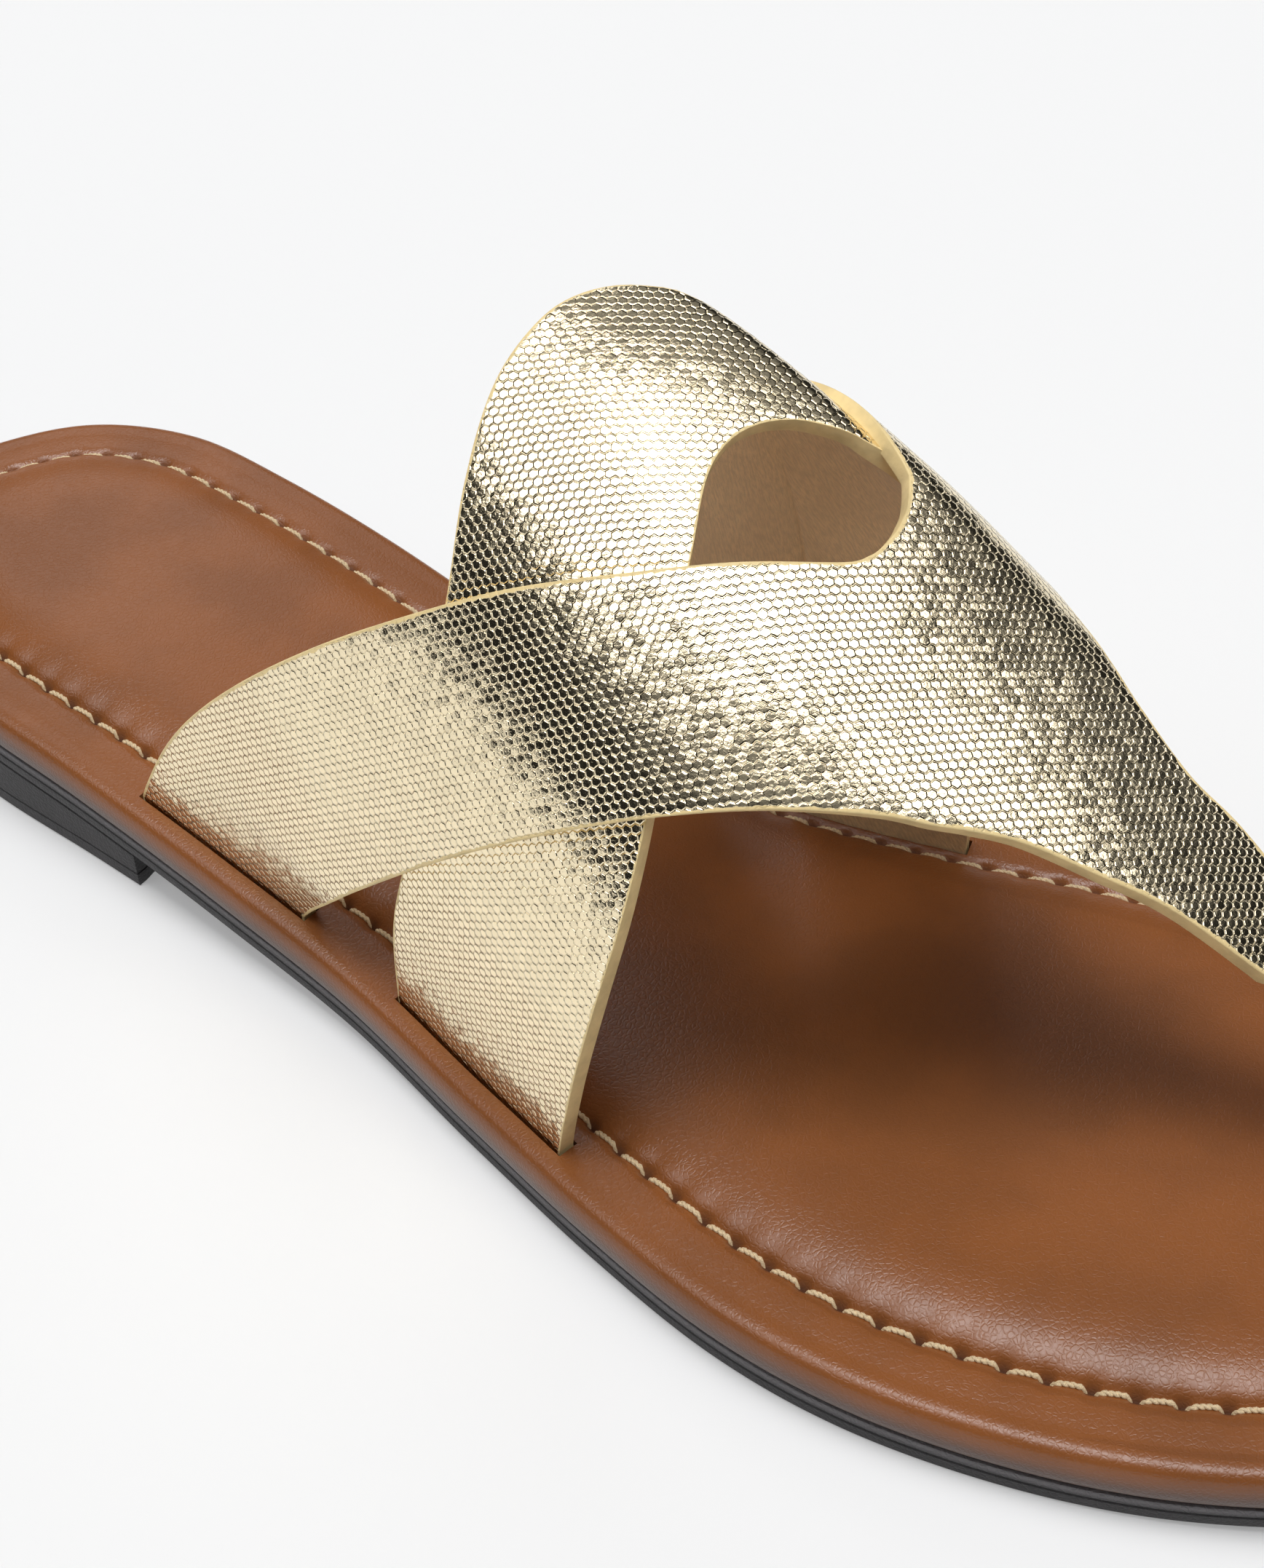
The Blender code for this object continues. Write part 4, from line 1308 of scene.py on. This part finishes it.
    def cut_slots(self, thing, straps):
        """Cut the strap slots and the toe post's hole."""
        cutters = []
        wide = straps.thickness / 2.0 + FIT_GAP
        spans = (
            (BAND[0][1], BAND[0][2], False, 0.0),
            (BAND[-1][1], BAND[-1][2], True, 0.0),
            (ARM[0][1], ARM[0][3], False, 0.0),
            (ARM[0][1], ARM[0][3], True, INNER_ARM_FORWARD),
        )
        for rear, front, inner, shift in spans:
            x = np.linspace(station_x(rear) - FIT_GAP + shift, station_x(front) + FIT_GAP + shift, SLOT_STEPS)
            side = foot_y(x, inner)
            slope = np.gradient(side, x)
            across = np.stack([-slope, np.ones_like(x)], axis=1) / np.sqrt(1.0 + slope ** 2)[:, None]
            centre = np.stack([x, side], axis=1)
            rim = np.vstack([centre - across * wide, (centre + across * wide)[::-1]])
            cutters.append(self.cutter(rim, border_top(x).min() - POCKET_DEPTH))
        px = float(station_x(POST_STATION))
        py = POST_SIDE * BALL_WIDTH
        turns = np.linspace(0.0, 2.0 * math.pi, POST_CUT_POINTS, endpoint=False)
        grow = FIT_GAP + POST_CUT_GAP
        rim = np.stack(
            [
                px + (POST_THICK / 2.0 + grow) * np.sign(np.cos(turns)) * np.abs(np.cos(turns)) ** 0.5,
                py + (POST_HALF_WIDTH + grow) * np.sign(np.sin(turns)) * np.abs(np.sin(turns)) ** 0.5,
            ],
            axis=1,
        )
        cutters.append(self.cutter(rim, float(border_top(px)) - POCKET_DEPTH))
        block = joined(cutters)
        cut = thing.modifiers.new("Slots", "BOOLEAN")
        cut.operation = "DIFFERENCE"
        cut.solver = "MANIFOLD"
        cut.object = block
        whole = len(thing.data.vertices)
        apply_all(thing)
        bpy.data.objects.remove(block)
        if len(thing.data.vertices) < whole * 0.9:
            raise RuntimeError("the footbed was lost while its slots were cut")

    def cutter(self, rim, floor):
        """Upright block on a plan rim."""
        pick_none()
        bpy.ops.mesh.primitive_circle_add(vertices=len(rim), radius=1.0, fill_type="NGON")
        block = bpy.context.object
        place(block, np.column_stack([rim, np.full(len(rim), floor)]))
        with editing(block, everything=True):
            bpy.ops.mesh.extrude_region_move(TRANSFORM_OT_translate={"value": (0.0, 0.0, CUTTER_HEIGHT)})
        face_outwards(block)
        return block


class SANDAL_OT_stitching(bpy.types.Operator):
    """Sew the twisted thread round the footbed"""

    bl_idname = "sandal.stitching"
    bl_label = "Stitching"

    def execute(self, context):
        s = context.scene.sandal_footbed
        frames, pitch = stitch_frames(s)
        one = self.one_stitch(s, pitch * s.stitch_share)
        local = positions(one)
        slant = math.radians(STITCH_SLANT)
        copies = []
        for middle, along, inward in frames:
            copy = one.copy()
            copy.data = one.data.copy()
            context.collection.objects.link(copy)
            ax = along * math.cos(slant) + inward * math.sin(slant)
            ay = np.array([-ax[1], ax[0]])
            plan = middle + local[:, :1] * ax + local[:, 1:2] * ay
            base = pad_height(middle[0], s.border, s)
            run = border_top(middle[0] + ax[0] * 0.002) - border_top(middle[0] - ax[0] * 0.002)
            z = base + local[:, 2] + local[:, 0] * run / 0.004
            place(copy, np.column_stack([plan, z]))
            copies.append(copy)
        bpy.data.objects.remove(one)
        thing = joined(copies)
        thing.name = "stitching"
        thing.data.name = "stitching"
        take(thing)
        bpy.ops.object.shade_smooth()
        finish(thing, "Waxed thread", paint_thread, s)
        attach(thing, "root")
        return {"FINISHED"}

    def one_stitch(self, s, length):
        """Two twisted plies arched between their holes, at the origin along X."""
        curve = bpy.data.curves.new("stitch", "CURVE")
        curve.dimensions = "3D"
        curve.bevel_depth = s.thread_radius
        curve.bevel_resolution = 1
        curve.use_fill_caps = True
        for ply in range(2):
            spline = curve.splines.new("POLY")
            spline.points.add(STITCH_STEPS - 1)
            for k in range(STITCH_STEPS):
                t = k / (STITCH_STEPS - 1)
                x = (t - 0.5) * length
                swell = 1.0 - abs(2.0 * t - 1.0) ** STITCH_FLATNESS
                turn = 2.0 * math.pi * PLY_TURNS * t + math.pi * ply
                side = math.cos(turn) * s.thread_radius * PLY_SPREAD
                z = STITCH_ENDS + STITCH_RISE * swell + math.sin(turn) * s.thread_radius * PLY_LIFT
                spline.points[k].co = (x * STITCH_STRETCH, side, z, 1.0)
        thing = bpy.data.objects.new("stitch", curve)
        bpy.context.collection.objects.link(thing)
        take(thing)
        bpy.ops.object.convert(target="MESH")
        return bpy.context.object


# Sole

class SANDAL_OT_outsole(bpy.types.Operator):
    """Model the thin outsole under the footbed"""

    bl_idname = "sandal.outsole"
    bl_label = "Outsole"

    def execute(self, context):
        s = context.scene.sandal_sole
        edge = spaced(EDGE, OUTSOLE_POINTS)
        out = s.outsole_inset
        chamfer = s.edge_chamfer
        thick = OUTSOLE_THICK
        # How far in from the footbed's edge and how far down, with a fine line round the middle
        profile = (
            (UNDERSIDE_INSET, 0.0), (out + 0.0010, 0.0), (out + chamfer, 0.0),
            (out + 0.00012, 0.00014), (out, chamfer), (out, 0.0011),
            (out + 0.00016, 0.00122), (out + 0.00016, 0.00132), (out, 0.00146),
            (out, thick - chamfer), (out + 0.00012, thick - 0.00014), (out + chamfer, thick),
            (0.0040, thick), (UNDERSIDE_INSET, thick),
        )
        rings = []
        for depth, down in profile:
            plan = inset(edge, depth)
            rings.append(ring_of(plan, footbed_under(plan[:, 0]) - FIT_GAP - down))
        thing = stack_rings("outsole_rubber", rings)
        fill_ends(thing, len(edge), FIT_GAP, FIT_GAP + OUTSOLE_THICK)
        face_outwards(thing)
        # Mask for the painted highlight along the outsole's top edge
        points = positions(thing)
        down = footbed_under(points[:, 0]) - FIT_GAP - points[:, 2]
        point_mask(thing, "top_highlight", np.where(down < TOP_HIGHLIGHT_DEPTH, 1.0, 0.0))
        smooth(thing, 32.0)
        finish(thing, "Outsole rubber", paint_outsole, s)
        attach(thing, "root")
        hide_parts("outsole")
        return {"FINISHED"}


def fill_ends(thing, count, top_gap, bottom_gap):
    """Close the first and last ring of a shell with grids that follow the footbed's underside."""
    total = len(thing.data.vertices)
    for rim, gap in ((range(count), top_gap), (range(total - count, total), bottom_gap)):
        before = len(thing.data.vertices)
        choose(thing, list(rim))
        with editing(thing):
            bpy.ops.mesh.fill_grid(span=count // 8, offset=0)
        points = positions(thing)
        points[before:, 2] = footbed_under(points[before:, 0]) - gap
        place(thing, points)


class SANDAL_OT_heel(bpy.types.Operator):
    """Model the low heel block"""

    bl_idname = "sandal.heel"
    bl_label = "Heel block"

    def execute(self, context):
        s = context.scene.sandal_sole
        line = inset(spaced(EDGE, 4 * HEEL_POINTS), HEEL_INSET)
        back = line[:, 0].min()
        reach = back + HEEL_LENGTH - HEEL_INSET
        back_line = line[line[:, 0] <= reach]
        turn = int(np.argmax(np.linalg.norm(np.diff(back_line, axis=0), axis=1))) + 1
        back_line = np.vstack([back_line[turn:], back_line[:turn]])
        near, far = back_line[0], back_line[-1]
        share = np.linspace(0.0, 1.0, BREAST_POINTS)[1:-1]
        breast_y = far[1] + (near[1] - far[1]) * share
        breast_x = reach - BREAST_HOLLOW * (1.0 - (2.0 * share - 1.0) ** 2)
        plan = spaced(np.vstack([back_line, np.stack([breast_x, breast_y], axis=1)]), HEEL_POINTS)
        lid = footbed_under(plan[:, 0]) - FIT_GAP - OUTSOLE_THICK - FIT_GAP
        # How far in and how far up, with a fine line over the top lift
        profile = (
            (0.0006, 0.0), (0.0002, 0.0), (0.0, 0.0004), (0.0, 0.0020), (0.00018, 0.00215), (0.0, 0.0023)
        )
        rings = []
        for depth, up in profile:
            shape = inset(plan, depth)
            rings.append(ring_of(shape, np.full(len(shape), up)))
        rings.append(ring_of(plan, np.maximum(lid - 0.0003, 0.0024)))
        shape = inset(plan, 0.0003)
        rings.append(ring_of(shape, np.maximum(lid, 0.0025)))
        thing = stack_rings("heel_block", rings)
        total = len(thing.data.vertices)
        for rim in (range(len(plan)), range(total - len(plan), total)):
            close_rim(thing, list(rim))
        face_outwards(thing)
        smooth(thing, 32.0)
        finish(thing, "Heel rubber", paint_rubber, s)
        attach(thing, "root")
        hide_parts("heel")
        return {"FINISHED"}


# Stage

# The strip overhead: its two directions in plan, the way to its bright middle, and how bright both are
# for mirrored rays and for diffuse ones
STRIP_ALONG = (0.758, 0.652, 0.0)
STRIP_ACROSS = (-0.652, 0.758, 0.0)
STRIP_LEVELS = (2.5, 0.45)
MIDDLE_TOWARD = (0.0, -0.0797, 0.9968)
MIDDLE_LEVELS = (11.0, 0.0)

# Where each soft step starts and ends, and its levels if they aren't nought and one
WALL_STEP = (0.35, 0.80, 0.015, 0.22)
BELOW_STEP = (-0.05, 0.05, 0.8, 0.0)
STRIP_ALONG_LOW = (-1.35, -0.95)
STRIP_ALONG_HIGH = (1.20, 0.75)
STRIP_ACROSS_LOW = (-0.64, -0.46)
STRIP_ACROSS_HIGH = (0.38, 0.02)
MIDDLE_STEP = (0.972, 0.992)

SANDAL_MIDDLE = (0.03, 0.0, 0.02)
CAMERA_PLACE = (0.1374, -0.16565, 0.2224)
CAMERA_TURN = 39.73
CAMERA_HEIGHT = 42.49
CAMERA_ROLL = -2.49
CAMERA_LENS = 58.5


class SANDAL_OT_stage(bpy.types.Operator):
    """Set the pale floor, soft light and camera"""

    bl_idname = "sandal.stage"
    bl_label = "Studio stage"

    def execute(self, context):
        s = context.scene.sandal_stage
        self.floor(s)
        self.world()
        self.light("key_box", (-0.16, 0.10, 1.60), wide=0.70, deep=0.60, power=s.key_power, glossy=False)
        self.light("rear_fill", (-1.20, 0.92, 1.20), wide=0.9, deep=0.7, power=s.fill_power, glossy=True)
        self.camera()
        context.scene.view_settings.view_transform = "Standard"
        return {"FINISHED"}

    def floor(self, s):
        """Wide pale floor."""
        pick_none()
        bpy.ops.mesh.primitive_plane_add(size=8.0)
        floor = bpy.context.object
        floor.name = "studio_floor"
        finish(floor, "Studio floor", paint_floor, s)

    def light(self, name, at, wide, deep, power, glossy):
        """Soft rectangular light aimed at the sandal; the foil mirrors it only where glossy."""
        lamp = bpy.data.lights.new(name, "AREA")
        lamp.shape = "RECTANGLE"
        lamp.size = wide
        lamp.size_y = deep
        lamp.energy = power
        thing = bpy.data.objects.new(name, lamp)
        bpy.context.scene.collection.objects.link(thing)
        thing.location = at
        thing.rotation_euler = (Vector(SANDAL_MIDDLE) - Vector(at)).to_track_quat("-Z", "Y").to_euler()
        thing.visible_glossy = glossy

    def world(self):
        """Dark walls, a paler ceiling, and a long soft strip with a bright middle."""
        world = bpy.data.worlds.new("Studio")
        bpy.context.scene.world = world
        world.use_nodes = True
        n = Nodes(world.node_tree)
        for node in list(world.node_tree.nodes):
            world.node_tree.nodes.remove(node)
        toward = n.add("ShaderNodeTexCoord").outputs["Generated"]
        parts = n.add("ShaderNodeSeparateXYZ")
        n.feed(parts.inputs[0], toward)
        height = parts.outputs[2]
        walls = n.ramp(height, *WALL_STEP)
        below = n.ramp(height, *BELOW_STEP)
        flat = n.scale(toward, n.math("DIVIDE", 1.0, n.math("MAXIMUM", height, 0.05)))
        along = n.vector("DOT_PRODUCT", flat, STRIP_ALONG)
        across = n.vector("DOT_PRODUCT", flat, STRIP_ACROSS)
        length = n.math("MULTIPLY", n.ramp(along, *STRIP_ALONG_LOW), n.ramp(along, *STRIP_ALONG_HIGH))
        width = n.math("MULTIPLY", n.ramp(across, *STRIP_ACROSS_LOW), n.ramp(across, *STRIP_ACROSS_HIGH))
        diffuse = n.add("ShaderNodeLightPath").outputs["Is Diffuse Ray"]
        strip = n.math("MULTIPLY", n.math("MULTIPLY", length, width), n.blend(diffuse, *STRIP_LEVELS))
        middle = n.ramp(n.vector("DOT_PRODUCT", toward, MIDDLE_TOWARD), *MIDDLE_STEP)
        middle = n.math("MULTIPLY", middle, n.blend(diffuse, *MIDDLE_LEVELS))
        level = n.math("ADD", n.math("ADD", n.math("ADD", walls, below), strip), middle)
        surround = n.fill(n.add("ShaderNodeBackground"), Color=(0.985, 0.99, 1.0, 1.0), Strength=level)
        seen = n.fill(n.add("ShaderNodeBackground"), Color=(0.93, 0.93, 0.925, 1.0))
        mixed = n.add("ShaderNodeMixShader")
        shown = n.add("ShaderNodeLightPath").outputs["Is Camera Ray"]
        for socket, value in zip(mixed.inputs, (shown, surround.outputs[0], seen.outputs[0])):
            n.feed(socket, value)
        n.fill(n.add("ShaderNodeOutputWorld"), Surface=mixed.outputs[0])

    def camera(self):
        """Camera at the photograph's angle."""
        a, e, roll = (math.radians(angle) for angle in (CAMERA_TURN, CAMERA_HEIGHT, CAMERA_ROLL))
        back = Vector((math.sin(a) * math.cos(e), -math.cos(a) * math.cos(e), math.sin(e)))
        level = Vector((math.cos(a), math.sin(a), 0.0))
        rise = back.cross(level)
        right = level * math.cos(roll) + rise * math.sin(roll)
        up = rise * math.cos(roll) - level * math.sin(roll)
        camera = bpy.data.cameras.new("camera")
        camera.sensor_width = 36.0
        camera.lens = CAMERA_LENS
        camera.clip_start = 0.01
        camera.clip_end = 20.0
        thing = bpy.data.objects.new("camera", camera)
        bpy.context.scene.collection.objects.link(thing)
        matrix = Matrix.Identity(4)
        for k in range(3):
            matrix[k][0], matrix[k][1], matrix[k][2] = right[k], up[k], back[k]
        matrix.translation = Vector(CAMERA_PLACE)
        thing.matrix_world = matrix
        bpy.context.scene.camera = thing


class SANDAL_PT_panel(bpy.types.Panel):
    """The sandal's pieces in the sidebar"""

    bl_idname = "SANDAL_PT_panel"
    bl_label = "Sandal"
    bl_space_type = "VIEW_3D"
    bl_region_type = "UI"
    bl_category = "Sandal"

    def draw(self, context):
        for title, name, _ in SETTINGS:
            box = self.layout.box()
            box.label(text=title)
            group = getattr(context.scene, name)
            for key in group.__annotations__:
                box.prop(group, key)
        for operator in OPERATORS:
            self.layout.operator(operator.bl_idname)


SETTINGS = (
    ("Straps", "sandal_straps", SandalStrapSettings),
    ("Footbed", "sandal_footbed", SandalFootbedSettings),
    ("Sole", "sandal_sole", SandalSoleSettings),
    ("Stage", "sandal_stage", SandalStageSettings),
)
OPERATORS = (
    SANDAL_OT_band,
    SANDAL_OT_fork,
    SANDAL_OT_footbed,
    SANDAL_OT_stitching,
    SANDAL_OT_outsole,
    SANDAL_OT_heel,
    SANDAL_OT_stage,
)


def register():
    """Make the settings, operators and panel known."""
    for _, name, group in SETTINGS:
        bpy.utils.register_class(group)
        setattr(bpy.types.Scene, name, bpy.props.PointerProperty(type=group))
    for operator in OPERATORS:
        bpy.utils.register_class(operator)
    bpy.utils.register_class(SANDAL_PT_panel)


def unregister():
    """Take them away again."""
    bpy.utils.unregister_class(SANDAL_PT_panel)
    for operator in reversed(OPERATORS):
        bpy.utils.unregister_class(operator)
    for _, name, group in SETTINGS:
        delattr(bpy.types.Scene, name)
        bpy.utils.unregister_class(group)


def main():
    """Register and model every piece in order."""
    register()
    bpy.ops.sandal.band()
    bpy.ops.sandal.fork()
    bpy.ops.sandal.footbed()
    bpy.ops.sandal.stitching()
    bpy.ops.sandal.outsole()
    bpy.ops.sandal.heel()
    bpy.ops.sandal.stage()
    bpy.context.view_layer.update()


if __name__ == "__main__":
    main()
